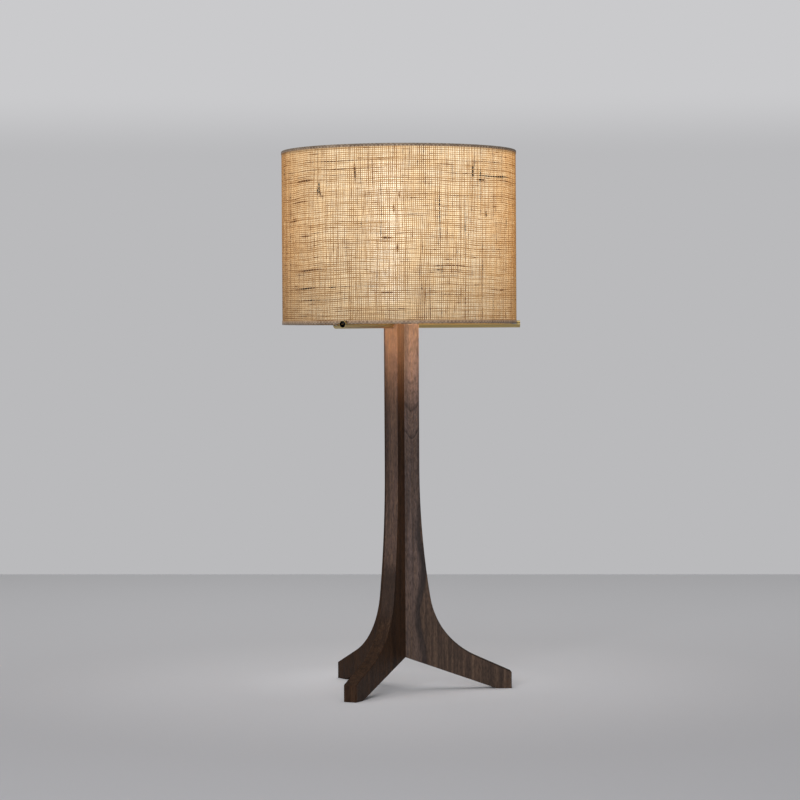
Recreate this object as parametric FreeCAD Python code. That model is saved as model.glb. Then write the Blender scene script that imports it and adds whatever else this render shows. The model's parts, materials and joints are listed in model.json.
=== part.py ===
import FreeCAD, Part
import math
import os

# Table lamp: a column of three mitred wooden fins that flare into legs, three brass tubes
# that reach out of the fins, and a fabric drum shade that sits in slots cut in the tubes.
# Lengths are millimetres. The lamp's axis is the Z axis and the floor is Z = 0.

# Angles and counts
full_turn = 360.0
half_turn = 180.0
right_angle = 90.0
fin_names = ["right", "rear_left", "front_left"]
fin_pitch_angle = full_turn / len(fin_names)
mitre_angle = fin_pitch_angle / 2
leg_slope_angle = 24.1
hex_sides = 6
knob_flute_count = 10

# Clearances
cut_overrun = 5.0
assembly_gap = 0.05
seat_gap = 0.3
loose_gap = 0.4

# Fins
fin_thickness = 18.5
column_radius = 25.4
column_height = 525.0
flare_start_height = 300.0
flare_radius = 1100.0
knee_height = 125.0
foot_radius = 149.5
foot_tip_height = 22.5
foot_corner_radius = 2.0
fin_edge_radius = 0.8
sole_inner_radius = 129.4
arch_height = 45.6

# Loose tongues that cross the mitres
spline_thickness = 1.6
spline_width = 8.0
spline_radius = 7.8
spline_end_margin = 12.0

# Centre pipe and what clamps it
pipe_radius = 5.0
pipe_wall = 1.2
pipe_hole_clearance = 0.2
recess_radius = 8.0
recess_top_height = 62.0
bottom_washer_radius = 7.5
bottom_washer_thickness = 1.5
nut_across_flats = 13.0
bottom_nut_thickness = 4.5
pipe_bottom_stickout = 3.0
bushing_flange_radius = 6.5
bushing_flange_thickness = 2.0
bushing_sleeve_length = 8.0
bushing_bore_radius = 3.1
check_ring_radius = 20.0
check_ring_thickness = 2.5
check_ring_edge_radius = 1.0
top_nut_thickness = 3.5

# Brass tubes that carry the shade, their depth measured from the column's top to their axis
rod_diameter = 9.525
rod_wall = 0.9
rod_depth = 30.0
rod_inner_radius = 11.0
rod_end_stickout = 4.7

# Shade
shade_outer_radius = 159.0
shade_height = 234.0
trim_thickness = 0.4
trim_leg_height = 4.6
fabric_thickness = 1.0
liner_thickness = 0.8
shade_wire_diameter = 2.8

# Lampholder, heights measured from the underside of its cap
cap_radius = 17.0
cap_wall = 0.8
cap_neck_radius = 7.8
cap_neck_height = 7.0
cap_shoulder_height = 9.0
cap_height = 25.0
cap_screw_radius = 1.5
cap_screw_stickout = 0.6
pipe_top_stickout = 2.0
shell_wall = 0.7
shell_bottom = 17.0
shell_top = 62.0
shell_lip = 0.5
shell_lip_height = 0.5
sleeve_wall = 0.8
sleeve_bottom = 24.0
sleeve_top = 60.0
block_bottom = 19.0
block_top = 38.0
block_flat_depth = 3.6
block_head_height = 6.0
terminal_radius = 3.0
terminal_thickness = 2.0
terminal_drop = 4.0
screw_shell_wall = 0.5
screw_shell_height = 22.0
screw_shell_floor_bore = 6.0
centre_contact_radius = 3.5
centre_contact_height = 3.0

# Turn key of the switch
key_height = 29.0
key_shaft_radius = 1.6
key_shaft_clearance = 0.09
key_shaft_depth = 10.0
key_hole_clearance = 1.0
knob_gap = 2.0
knob_radius = 5.0
knob_length = 14.0
knob_edge_radius = 1.2
knob_flute_radius = 0.9
knob_hub_depth = 9.0

# Bulb, heights measured from the tip of its contact
bulb_length = 108.0
bulb_radius = 30.0
bulb_glass_wall = 0.8
bulb_neck_radius = 12.5
bulb_cap_radius = 13.1
bulb_cap_wall = 0.45
bulb_cap_bottom = 5.0
bulb_cap_top = 26.0
bulb_tip_radius = 4.6
bulb_tip_height = 1.8
bulb_insulator_radius = 11.0
bulb_neck_bottom = 18.0
stem_floor_thickness = 1.0
stem_foot_radius = 6.0
stem_tip_radius = 2.6
stem_tip_height = 52.0
lead_radius = 0.5
lead_spread = 9.0
lead_top_height = 74.0
lead_foot_spread = 1.6
filament_radius = 0.9
filament_rise = 5.0

# Heights and radii that follow from the sizes above
rod_radius = rod_diameter / 2
pipe_bore_radius = pipe_radius - pipe_wall
pipe_hole_radius = pipe_radius + pipe_hole_clearance
bottom_nut_top = recess_top_height - bottom_washer_thickness
bottom_nut_bottom = bottom_nut_top - bottom_nut_thickness
pipe_bottom_height = bottom_nut_bottom - pipe_bottom_stickout
check_ring_top = column_height + check_ring_thickness
holder_base = check_ring_top + top_nut_thickness
pipe_top_height = holder_base + cap_neck_height + pipe_top_stickout

rod_height = column_height - rod_depth
rod_end_radius = shade_outer_radius + rod_end_stickout
shade_bottom_height = rod_height + seat_gap
shade_top_height = shade_bottom_height + shade_height
fabric_outer_radius = shade_outer_radius - trim_thickness
liner_outer_radius = fabric_outer_radius - fabric_thickness
liner_inner_radius = liner_outer_radius - liner_thickness
shade_wire_radius = shade_wire_diameter / 2
rim_inner_radius = liner_inner_radius - shade_wire_diameter - trim_thickness
wall_bottom_height = shade_bottom_height + trim_thickness
wall_top_height = shade_top_height - trim_thickness

shell_radius = cap_radius - cap_wall - assembly_gap
sleeve_radius = shell_radius - shell_wall - assembly_gap
block_radius = sleeve_radius - sleeve_wall - assembly_gap
screw_shell_inner_radius = bulb_cap_radius + seat_gap
bulb_base = holder_base + block_top + centre_contact_height + seat_gap
key_axis_height = holder_base + key_height


def point(radius, height):
    """Point of an outline in the XZ plane."""
    return FreeCAD.Vector(radius, 0, height)


def line(start, end):
    """Straight edge between two points."""
    return Part.LineSegment(start, end).toShape()


def arc(start, middle, end):
    """Arc through three points."""
    return Part.Arc(start, middle, end).toShape()


def arc_about(centre, radius, from_angle, to_angle):
    """Arc in the XZ plane about a centre, angles in degrees from +X towards +Z."""
    spots = []
    for angle in (from_angle, (from_angle + to_angle) / 2, to_angle):
        turn = math.radians(angle)
        offset = point(radius * math.cos(turn), radius * math.sin(turn))
        spots.append(centre + offset)
    return arc(spots[0], spots[1], spots[2])


def closed_face(edges):
    """Face bounded by edges that follow each other."""
    return Part.Face(Part.Wire(edges))


def polygon_face(points):
    """Face bounded by straight lines through the points."""
    return Part.Face(Part.makePolygon(points + [points[0]]))


def revolve(face):
    """Full turn of a face in the XZ plane about the lamp's axis."""
    return face.revolve(FreeCAD.Vector(0, 0, 0), FreeCAD.Vector(0, 0, 1), full_turn)


def tube(outer_radius, inner_radius, bottom, top):
    """Upright tube on the lamp's axis."""
    corners = [
        point(inner_radius, bottom),
        point(outer_radius, bottom),
        point(outer_radius, top),
        point(inner_radius, top),
    ]
    return revolve(polygon_face(corners))


def upright_cylinder(radius, bottom, top):
    """Upright cylinder on the lamp's axis."""
    return Part.makeCylinder(radius, top - bottom, FreeCAD.Vector(0, 0, bottom))


def level_cylinder(radius, near, far, height, axis=FreeCAD.Vector(1, 0, 0)):
    """Cylinder that runs outward from the lamp's axis at one height."""
    start = axis * near
    start.z = height
    return Part.makeCylinder(radius, far - near, start, axis)


def turned(shape, angle):
    """Copy of a shape turned about the lamp's axis."""
    copy = shape.copy()
    copy.rotate(FreeCAD.Vector(0, 0, 0), FreeCAD.Vector(0, 0, 1), angle)
    return copy


def raised(shape, height):
    """Copy of a shape moved up."""
    copy = shape.copy()
    copy.translate(FreeCAD.Vector(0, 0, height))
    return copy


def fin_outline():
    """Side view of a fin from the lamp's axis outward, with its flare, knee and foot."""
    slope = math.radians(leg_slope_angle)
    flare_end = math.asin((flare_start_height - knee_height) / flare_radius)
    knee_end = math.radians(right_angle - leg_slope_angle)
    knee_radius_out = column_radius + flare_radius * (1 - math.cos(flare_end))
    spare_height = knee_height - foot_tip_height - math.tan(slope) * (foot_radius - knee_radius_out)
    arc_drop = math.sin(knee_end) - math.sin(flare_end)
    arc_reach = math.cos(flare_end) - math.cos(knee_end)
    knee_radius = spare_height / (arc_drop - math.tan(slope) * arc_reach)

    flare_centre = point(column_radius + flare_radius, flare_start_height)
    flare_angle = math.degrees(flare_end)
    knee_centre = point(
        knee_radius_out + knee_radius * math.cos(flare_end),
        knee_height + knee_radius * math.sin(flare_end),
    )
    knee_angle = half_turn + math.degrees(knee_end)
    flare = arc_about(flare_centre, flare_radius, half_turn, half_turn + flare_angle)
    knee = arc_about(knee_centre, knee_radius, half_turn + flare_angle, knee_angle)

    corner_turn = (right_angle - leg_slope_angle) / 2
    corner_cut = foot_corner_radius * math.tan(math.radians(corner_turn))
    corner_centre = point(foot_radius - foot_corner_radius, foot_tip_height - corner_cut)
    corner = arc_about(corner_centre, foot_corner_radius, right_angle - leg_slope_angle, 0)

    top_inner = point(0, column_height)
    top_outer = point(column_radius, column_height)
    sole_outer = point(foot_radius, 0)
    sole_inner = point(sole_inner_radius, 0)
    arch = point(0, arch_height)
    edges = [
        line(top_inner, top_outer),
        line(top_outer, flare.Vertexes[0].Point),
        flare,
        knee,
        line(knee.Vertexes[-1].Point, corner.Vertexes[0].Point),
        corner,
        line(corner.Vertexes[-1].Point, sole_outer),
        line(sole_outer, sole_inner),
        line(sole_inner, arch),
        line(arch, top_inner),
    ]
    return closed_face(edges)


def side_edges(board):
    """Edges of a board's two side faces, apart from those on the lamp's axis."""
    edges = []
    for edge in board.Edges:
        bounds = edge.BoundBox
        across_the_board = bounds.YLength > assembly_gap
        on_the_axis = bounds.XMax < assembly_gap
        if not across_the_board and not on_the_axis:
            edges.append(edge)
    return edges


def mitre_wedge():
    """Upright wedge between the two mitre planes of the fin along +X."""
    reach = foot_radius + cut_overrun
    turn = math.radians(mitre_angle)
    side = reach * math.tan(turn)
    low = -cut_overrun
    corners = [
        FreeCAD.Vector(0, 0, low),
        FreeCAD.Vector(reach, -side, low),
        FreeCAD.Vector(reach, side, low),
    ]
    return polygon_face(corners).extrude(FreeCAD.Vector(0, 0, column_height + cut_overrun - low))


def spline(angle):
    """Loose tongue across the mitre plane at an angle about the axis."""
    bottom = recess_top_height + spline_end_margin
    top = column_height - spline_end_margin
    body = Part.makeBox(
        spline_thickness,
        spline_width,
        top - bottom,
        FreeCAD.Vector(spline_radius - spline_thickness / 2, -spline_width / 2, bottom),
    )
    return turned(body, angle)


def fin():
    """Fin along +X, with its mitres, pipe bore, nut recess, tongue grooves and tube socket."""
    profile = fin_outline()
    profile.translate(FreeCAD.Vector(0, -fin_thickness / 2, 0))
    board = profile.extrude(FreeCAD.Vector(0, fin_thickness, 0))
    board = board.makeFillet(fin_edge_radius, side_edges(board)).common(mitre_wedge())
    cutters = [
        upright_cylinder(pipe_hole_radius, 0, column_height + cut_overrun),
        upright_cylinder(recess_radius, 0, recess_top_height),
        spline(mitre_angle),
        spline(-mitre_angle),
        level_cylinder(
            rod_radius + assembly_gap, rod_inner_radius, column_radius + cut_overrun, rod_height
        ),
    ]
    return board.cut(cutters)


def rod():
    """Brass tube along +X, open at both ends, with the shade's slot sawn in its upper half."""
    outer = level_cylinder(rod_radius, rod_inner_radius, rod_end_radius, rod_height)
    bore = level_cylinder(
        rod_radius - rod_wall,
        rod_inner_radius - cut_overrun,
        rod_end_radius + cut_overrun,
        rod_height,
    )
    slot_inner = rim_inner_radius - loose_gap
    slot_outer = shade_outer_radius + loose_gap
    slot = Part.makeBox(
        slot_outer - slot_inner,
        rod_diameter + cut_overrun,
        rod_radius + cut_overrun,
        FreeCAD.Vector(slot_inner, -(rod_diameter + cut_overrun) / 2, rod_height),
    )
    return outer.cut([bore, slot])


def hex_nut(bottom, top):
    """Hexagonal nut on the centre pipe."""
    corner_radius = nut_across_flats / 2 / math.cos(math.radians(full_turn / hex_sides / 2))
    corners = []
    for index in range(hex_sides):
        turn = math.radians(index * full_turn / hex_sides)
        corners.append(
            FreeCAD.Vector(corner_radius * math.cos(turn), corner_radius * math.sin(turn), bottom)
        )
    body = polygon_face(corners).extrude(FreeCAD.Vector(0, 0, top - bottom))
    return body.cut(upright_cylinder(pipe_radius + assembly_gap, bottom - cut_overrun, top + cut_overrun))


def check_ring():
    """Round plate with an eased upper edge that covers the fins' joint."""
    hole = pipe_radius + assembly_gap
    edge_centre = point(check_ring_radius - check_ring_edge_radius, check_ring_top - check_ring_edge_radius)
    edge = arc_about(edge_centre, check_ring_edge_radius, 0, right_angle)
    edges = [
        line(point(hole, column_height), point(check_ring_radius, column_height)),
        line(point(check_ring_radius, column_height), edge.Vertexes[0].Point),
        edge,
        line(edge.Vertexes[-1].Point, point(hole, check_ring_top)),
        line(point(hole, check_ring_top), point(hole, column_height)),
    ]
    return revolve(closed_face(edges))


def cord_bushing():
    """Flanged bushing in the lower mouth of the centre pipe."""
    sleeve_radius_out = pipe_bore_radius - assembly_gap
    flange_bottom = pipe_bottom_height - bushing_flange_thickness
    flange = tube(bushing_flange_radius, bushing_bore_radius, flange_bottom, pipe_bottom_height)
    sleeve_top_height = pipe_bottom_height + bushing_sleeve_length
    collar = tube(sleeve_radius_out, bushing_bore_radius, pipe_bottom_height, sleeve_top_height)
    return flange.fuse(collar).removeSplitter()


def cap_shoulder(radius, neck, bottom, top):
    """Rounded shoulder of the lampholder's cap, as an arc from its neck to its wall."""
    middle_share = math.cos(math.radians(right_angle / 2))
    middle = point(
        neck + (radius - neck) * middle_share,
        top - (top - bottom) * middle_share,
    )
    return arc(point(neck, bottom), middle, point(radius, top))


def socket_cap():
    """Cup-shaped cap of the lampholder with a neck that screws on the centre pipe."""
    bore = pipe_radius + assembly_gap
    inner = cap_radius - cap_wall
    shoulder_top = cap_neck_height + cap_shoulder_height
    outer_shoulder = cap_shoulder(cap_radius, cap_neck_radius, cap_neck_height, shoulder_top)
    inner_neck = cap_neck_radius - cap_wall
    floor = cap_neck_height + cap_wall
    inner_shoulder = cap_shoulder(inner, inner_neck, floor, shoulder_top)
    edges = [
        line(point(bore, 0), point(cap_neck_radius, 0)),
        line(point(cap_neck_radius, 0), point(cap_neck_radius, cap_neck_height)),
        outer_shoulder,
        line(point(cap_radius, shoulder_top), point(cap_radius, cap_height)),
        line(point(cap_radius, cap_height), point(inner, cap_height)),
        line(point(inner, cap_height), point(inner, shoulder_top)),
        inner_shoulder,
        line(point(inner_neck, floor), point(bore, floor)),
        line(point(bore, floor), point(bore, 0)),
    ]
    body = raised(revolve(closed_face(edges)), holder_base)
    return body.cut(cap_screw_cylinder(cap_screw_radius + assembly_gap, cut_overrun))


def cap_screw_cylinder(radius, extra):
    """Radial cylinder through the cap's neck, where its grub screw goes."""
    height = holder_base + cap_neck_height / 2
    return level_cylinder(radius, pipe_radius, cap_neck_radius + cap_screw_stickout + extra, height)


def cap_set_screw():
    """Grub screw that locks the cap on the centre pipe."""
    pipe = upright_cylinder(pipe_radius, holder_base, holder_base + cap_neck_height)
    return cap_screw_cylinder(cap_screw_radius, 0).cut(pipe)


def key_hole(radius):
    """Radial cylinder along -X where the turn key's shaft passes."""
    return level_cylinder(radius, 0, cap_radius + cut_overrun, key_axis_height, FreeCAD.Vector(-1, 0, 0))


def socket_shell():
    """Outer metal shell of the lampholder, with a small turned-out lip."""
    bottom = holder_base + shell_bottom
    top = holder_base + shell_top
    inner = shell_radius - shell_wall
    lip_radius = shell_radius + shell_lip
    lip_bottom = top - shell_lip_height
    corners = [
        point(inner, bottom),
        point(shell_radius, bottom),
        point(shell_radius, lip_bottom - shell_lip),
        point(lip_radius, lip_bottom),
        point(lip_radius, top),
        point(inner, top),
    ]
    return revolve(polygon_face(corners)).cut(key_hole(key_shaft_radius + key_hole_clearance))


def socket_sleeve():
    """Insulating sleeve inside the lampholder's shell."""
    body = tube(
        sleeve_radius, sleeve_radius - sleeve_wall, holder_base + sleeve_bottom, holder_base + sleeve_top
    )
    return body.cut(key_hole(key_shaft_radius + key_hole_clearance))


def switch_block():
    """Moulded block that holds the rotary switch, with a flat on each side for a terminal."""
    body = upright_cylinder(block_radius, holder_base + block_bottom, holder_base + block_top)
    flat_bottom = holder_base + block_bottom - cut_overrun
    flat_top = holder_base + block_top - block_head_height
    flat = Part.makeBox(
        block_radius + block_radius,
        block_flat_depth + cut_overrun,
        flat_top - flat_bottom,
        FreeCAD.Vector(-block_radius, block_radius - block_flat_depth, flat_bottom),
    )
    shaft_bore = level_cylinder(
        key_shaft_radius + key_shaft_clearance,
        block_radius - key_shaft_depth - seat_gap,
        cap_radius,
        key_axis_height,
        FreeCAD.Vector(-1, 0, 0),
    )
    return body.cut([flat, turned(flat, half_turn), shaft_bore])


def terminal_screws():
    """Two screw heads on the flats of the switch block."""
    flat = block_radius - block_flat_depth
    heads = []
    for side in (-1, 1):
        head = level_cylinder(
            terminal_radius,
            flat,
            flat + terminal_thickness,
            key_axis_height - terminal_drop,
            FreeCAD.Vector(0, side, 0),
        )
        heads.append(head)
    return Part.makeCompound(heads)


def screw_shell():
    """Threaded cup that takes the bulb's cap, drawn as a plain cup with a pierced floor."""
    bottom = holder_base + block_top
    outer = screw_shell_inner_radius + screw_shell_wall
    wall = tube(outer, screw_shell_inner_radius, bottom, bottom + screw_shell_height)
    floor = tube(outer, screw_shell_floor_bore, bottom, bottom + screw_shell_wall)
    return wall.fuse(floor).removeSplitter()


def centre_contact():
    """Round contact under the bulb's tip."""
    bottom = holder_base + block_top
    return upright_cylinder(centre_contact_radius, bottom, bottom + centre_contact_height)


def key_shaft():
    """Shaft of the rotary switch, from the block to the knob's bore."""
    near = block_radius - key_shaft_depth
    far = cap_radius + knob_gap + knob_hub_depth
    return level_cylinder(key_shaft_radius, near, far, key_axis_height, FreeCAD.Vector(-1, 0, 0))


def key_knob():
    """Fluted knob on the end of the key shaft."""
    near = cap_radius + knob_gap
    outward = FreeCAD.Vector(-1, 0, 0)
    body = level_cylinder(knob_radius, near, near + knob_length, key_axis_height, outward)
    rims = []
    for edge in body.Edges:
        if isinstance(edge.Curve, Part.Circle) and edge.CenterOfMass.x < -(near + knob_length / 2):
            rims.append(edge)
    body = body.makeFillet(knob_edge_radius, rims)
    body = body.cut(
        level_cylinder(
            key_shaft_radius + assembly_gap, near - cut_overrun, near + knob_hub_depth, key_axis_height, outward
        )
    )
    flute = level_cylinder(
        knob_flute_radius, near - cut_overrun, near + knob_length + cut_overrun, key_axis_height, outward
    )
    flutes = []
    for index in range(knob_flute_count):
        copy = flute.copy()
        copy.translate(FreeCAD.Vector(0, 0, knob_radius))
        copy.rotate(FreeCAD.Vector(0, 0, key_axis_height), outward, index * full_turn / knob_flute_count)
        flutes.append(copy)
    return body.cut(flutes)


def globe_outline(wall_inset):
    """Edges of the globe's profile from its neck to its crown, moved inward by an inset."""
    neck = bulb_neck_radius - wall_inset
    radius = bulb_radius - wall_inset
    centre_height = bulb_length - bulb_radius
    rise = centre_height - bulb_cap_top
    waist_radius = (bulb_neck_radius ** 2 + rise ** 2 - bulb_radius ** 2) / (bulb_radius - bulb_neck_radius) / 2
    waist_centre = point(bulb_neck_radius + waist_radius, bulb_cap_top)
    meet_angle = math.degrees(math.atan2(rise, bulb_neck_radius + waist_radius))
    waist = arc_about(waist_centre, waist_radius + wall_inset, half_turn, half_turn - meet_angle)
    dome = arc_about(point(0, centre_height), radius, -meet_angle, right_angle)
    neck_line = line(point(neck, bulb_neck_bottom), point(neck, bulb_cap_top))
    return [neck_line, waist, dome]


def bulb_globe():
    """Hollow glass globe."""
    outer = globe_outline(0)
    inner = globe_outline(bulb_glass_wall)
    neck_inner = bulb_neck_radius - bulb_glass_wall
    top_gap = line(point(0, bulb_length - bulb_glass_wall), point(0, bulb_length))
    foot = line(point(neck_inner, bulb_neck_bottom), point(bulb_neck_radius, bulb_neck_bottom))
    face = closed_face(outer + [top_gap] + list(reversed(inner)) + [foot])
    return raised(revolve(face), bulb_base)


def bulb_cap():
    """Metal screw cap of the bulb, open below where the insulator fills it."""
    inner = bulb_cap_radius - bulb_cap_wall
    wall = tube(bulb_cap_radius, inner, bulb_cap_bottom, bulb_cap_top)
    floor = tube(bulb_cap_radius, bulb_insulator_radius, bulb_cap_bottom, bulb_cap_bottom + bulb_cap_wall)
    return raised(wall.fuse(floor).removeSplitter(), bulb_base)


def bulb_insulator():
    """Glass insulator between the cap and the tip."""
    top = bulb_cap_bottom + bulb_cap_wall
    corners = [
        point(0, bulb_tip_height),
        point(bulb_tip_radius, bulb_tip_height),
        point(bulb_insulator_radius - assembly_gap, bulb_cap_bottom),
        point(bulb_insulator_radius - assembly_gap, top),
        point(0, top),
    ]
    return raised(revolve(polygon_face(corners)), bulb_base)


def bulb_contact():
    """Rounded metal tip of the bulb."""
    crown_radius = (bulb_tip_radius ** 2 + bulb_tip_height ** 2) / bulb_tip_height / 2
    crown_angle = math.degrees(math.asin(bulb_tip_radius / crown_radius))
    edges = [
        arc_about(point(0, crown_radius), crown_radius, -right_angle, crown_angle - right_angle),
        line(point(bulb_tip_radius, bulb_tip_height), point(0, bulb_tip_height)),
        line(point(0, bulb_tip_height), point(0, 0)),
    ]
    return raised(revolve(closed_face(edges)), bulb_base)


def bulb_stem():
    """Glass stem that closes the globe's neck and rises to carry the leads."""
    neck_inner = bulb_neck_radius - bulb_glass_wall - assembly_gap
    floor_top = bulb_neck_bottom + stem_floor_thickness
    corners = [
        point(0, bulb_neck_bottom),
        point(neck_inner, bulb_neck_bottom),
        point(neck_inner, floor_top),
        point(stem_foot_radius, floor_top),
        point(stem_tip_radius, stem_tip_height),
        point(0, stem_tip_height),
    ]
    return raised(revolve(polygon_face(corners)), bulb_base)


def bulb_leads():
    """Two lead wires that lean outward from the stem's tip."""
    wires = []
    for side in (-1, 1):
        start = point(side * lead_foot_spread, stem_tip_height)
        end = point(side * lead_spread, lead_top_height)
        wires.append(Part.makeCylinder(lead_radius, (end - start).Length, start, end - start))
    plate = Part.makeBox(
        bulb_radius, bulb_radius, stem_tip_height,
        FreeCAD.Vector(-bulb_radius / 2, -bulb_radius / 2, 0),
    )
    return raised(Part.makeCompound([wire.cut(plate) for wire in wires]), bulb_base)


def bulb_filament():
    """Filament that arches between the two leads."""
    left = point(-lead_spread, lead_top_height + filament_radius)
    right = point(lead_spread, lead_top_height + filament_radius)
    crown = point(0, lead_top_height + filament_radius + filament_rise)
    path = Part.Wire([arc(left, crown, right)])
    tangent = path.Edges[0].tangentAt(path.Edges[0].FirstParameter)
    ring = Part.Wire([Part.Circle(left, tangent, filament_radius).toShape()])
    return raised(path.makePipeShell([ring], True, False), bulb_base)


def shade_trim(outer_edge_height, fold_direction):
    """Tape folded over a rim of the shade and its wire, as a U-shaped ring."""
    inner_face = rim_inner_radius + trim_thickness
    fold = outer_edge_height + fold_direction * trim_thickness
    leg_end = outer_edge_height + fold_direction * trim_leg_height
    corners = [
        point(rim_inner_radius, outer_edge_height),
        point(shade_outer_radius, outer_edge_height),
        point(shade_outer_radius, leg_end),
        point(fabric_outer_radius, leg_end),
        point(fabric_outer_radius, fold),
        point(inner_face, fold),
        point(inner_face, leg_end),
        point(rim_inner_radius, leg_end),
    ]
    return revolve(polygon_face(corners))


def shade_wire(height):
    """Round wire hoop inside a rim of the shade."""
    hoop_radius = liner_inner_radius - shade_wire_radius
    return Part.makeTorus(hoop_radius, shade_wire_radius - assembly_gap, FreeCAD.Vector(0, 0, height))


def build():
    """All pieces of the lamp by name."""
    pieces = {}
    for index, name in enumerate(fin_names):
        pieces["fin_" + name] = turned(fin(), index * fin_pitch_angle)
        pieces["rod_" + name] = turned(rod(), index * fin_pitch_angle)
    splines = [spline(mitre_angle + index * fin_pitch_angle) for index in range(len(fin_names))]
    pieces["fin_splines"] = Part.makeCompound(splines)

    pieces["centre_pipe"] = tube(pipe_radius, pipe_bore_radius, pipe_bottom_height, pipe_top_height)
    pieces["bottom_washer"] = tube(
        bottom_washer_radius, pipe_radius + assembly_gap, bottom_nut_top, recess_top_height
    )
    pieces["bottom_nut"] = hex_nut(bottom_nut_bottom, bottom_nut_top)
    pieces["cord_bushing"] = cord_bushing()
    pieces["check_ring"] = check_ring()
    pieces["top_nut"] = hex_nut(check_ring_top, holder_base)

    pieces["socket_cap"] = socket_cap()
    pieces["cap_set_screw"] = cap_set_screw()
    pieces["socket_shell"] = socket_shell()
    pieces["socket_sleeve"] = socket_sleeve()
    pieces["switch_block"] = switch_block()
    pieces["terminal_screws"] = terminal_screws()
    pieces["screw_shell"] = screw_shell()
    pieces["centre_contact"] = centre_contact()
    pieces["key_shaft"] = key_shaft()
    pieces["key_knob"] = key_knob()

    pieces["bulb_globe"] = bulb_globe()
    pieces["bulb_cap"] = bulb_cap()
    pieces["bulb_insulator"] = bulb_insulator()
    pieces["bulb_contact"] = bulb_contact()
    pieces["bulb_stem"] = bulb_stem()
    pieces["bulb_leads"] = bulb_leads()
    pieces["bulb_filament"] = bulb_filament()

    pieces["shade_fabric"] = tube(fabric_outer_radius, liner_outer_radius, wall_bottom_height, wall_top_height)
    pieces["shade_liner"] = tube(liner_outer_radius, liner_inner_radius, wall_bottom_height, wall_top_height)
    pieces["shade_bottom_wire"] = shade_wire(wall_bottom_height + shade_wire_radius)
    pieces["shade_top_wire"] = shade_wire(wall_top_height - shade_wire_radius)
    pieces["shade_bottom_trim"] = shade_trim(shade_bottom_height, 1)
    pieces["shade_top_trim"] = shade_trim(shade_top_height, -1)
    return pieces


os.makedirs("parts", exist_ok=True)
for node_name, node_shape in build().items():
    for solid in node_shape.Solids:
        if not solid.isValid() or solid.Volume <= 0:
            raise ValueError(node_name + " is not a valid solid")
    node_shape.exportStep("parts/" + node_name + ".step")
    print(node_name, len(node_shape.Solids), round(node_shape.Volume, 2))
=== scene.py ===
"""Looks of a table lamp with a burlap drum shade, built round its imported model.

Lengths are metres in the model's own frame: the lamp's axis is Z and the floor is Z = 0.
Azimuths are degrees about the lamp's axis, from +X towards +Y.
"""
import json
import logging
import math
from collections.abc import Mapping
from dataclasses import dataclass
from enum import Enum
from typing import Any, ClassVar

import bmesh
import bpy
import numpy as np
from mathutils import Matrix, Vector

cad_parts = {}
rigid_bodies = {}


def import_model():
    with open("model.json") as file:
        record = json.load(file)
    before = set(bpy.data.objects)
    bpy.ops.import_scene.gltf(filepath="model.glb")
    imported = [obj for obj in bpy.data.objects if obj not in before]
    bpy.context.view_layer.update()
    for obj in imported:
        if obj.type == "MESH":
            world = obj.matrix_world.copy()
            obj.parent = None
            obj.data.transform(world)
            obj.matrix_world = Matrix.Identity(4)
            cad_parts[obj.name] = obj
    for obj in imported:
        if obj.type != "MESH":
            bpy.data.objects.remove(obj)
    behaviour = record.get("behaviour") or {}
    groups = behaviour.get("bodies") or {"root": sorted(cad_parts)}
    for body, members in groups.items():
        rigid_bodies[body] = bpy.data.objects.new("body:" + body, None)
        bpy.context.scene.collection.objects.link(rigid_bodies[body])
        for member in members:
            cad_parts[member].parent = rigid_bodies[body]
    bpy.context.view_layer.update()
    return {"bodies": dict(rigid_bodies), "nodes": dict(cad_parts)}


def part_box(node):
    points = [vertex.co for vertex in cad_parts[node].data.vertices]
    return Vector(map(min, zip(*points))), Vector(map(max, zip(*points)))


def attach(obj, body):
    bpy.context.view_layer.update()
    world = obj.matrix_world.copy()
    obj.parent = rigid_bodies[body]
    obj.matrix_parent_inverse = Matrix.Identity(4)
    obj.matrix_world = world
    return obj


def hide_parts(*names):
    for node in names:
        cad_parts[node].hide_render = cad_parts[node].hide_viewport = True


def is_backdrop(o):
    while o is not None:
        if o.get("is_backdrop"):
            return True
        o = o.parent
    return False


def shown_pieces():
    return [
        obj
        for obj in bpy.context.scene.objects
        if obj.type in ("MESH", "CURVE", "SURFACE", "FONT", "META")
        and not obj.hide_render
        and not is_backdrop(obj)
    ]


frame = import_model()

log = logging.getLogger("table_lamp")

Colour = tuple[float, float, float, float]
Triple = tuple[float, float, float]
Range = tuple[float, float]
Pair = tuple[float, float]
Fed = Mapping[int | str, Any]

FULL_TURN = 2 * math.pi
AXIS_POINT = (0.0, 0.0, 0.0)
UPWARD = (0.0, 0.0, 1.0)
DRUM_RADIUS = 0.158
RISING: Range = (0.0, 1.0)
FALLING: Range = (1.0, 0.0)
NOISE_SPREAD: Range = (0.3, 0.7)
PLAIN: Colour = (1.0, 1.0, 1.0, 1.0)


class Body(Enum):
    """Bodies that pieces ride on."""

    STAND = "stand"
    BULB = "bulb"
    SHADE = "shade"


class Lay(Enum):
    """The two ways in which yarns lie in the weave."""

    WARP = "warp"
    WEFT = "weft"


def paint(red: int, green: int, blue: int) -> Colour:
    """Colour of a paint chip as a linear colour.

    Args:
        red: Red share as it is seen, 0 to 255.
        green: Green share as it is seen, 0 to 255.
        blue: Blue share as it is seen, 0 to 255.

    Returns:
        The linear colour with full opacity.
    """
    toe, slope, offset, power = 0.04045, 12.92, 0.055, 2.4
    linear = []
    for level in (red / 255, green / 255, blue / 255):
        curve = ((level + offset) / (1 + offset)) ** power
        linear.append(level / slope if level <= toe else curve)
    return (linear[0], linear[1], linear[2], 1.0)


@dataclass(frozen=True)
class Grain:
    """Noise grains: how many a metre holds, along all axes or along each, and their finer layers."""

    counts: float | Triple
    detail: float = 2.0
    roughness: float = 0.5


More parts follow.
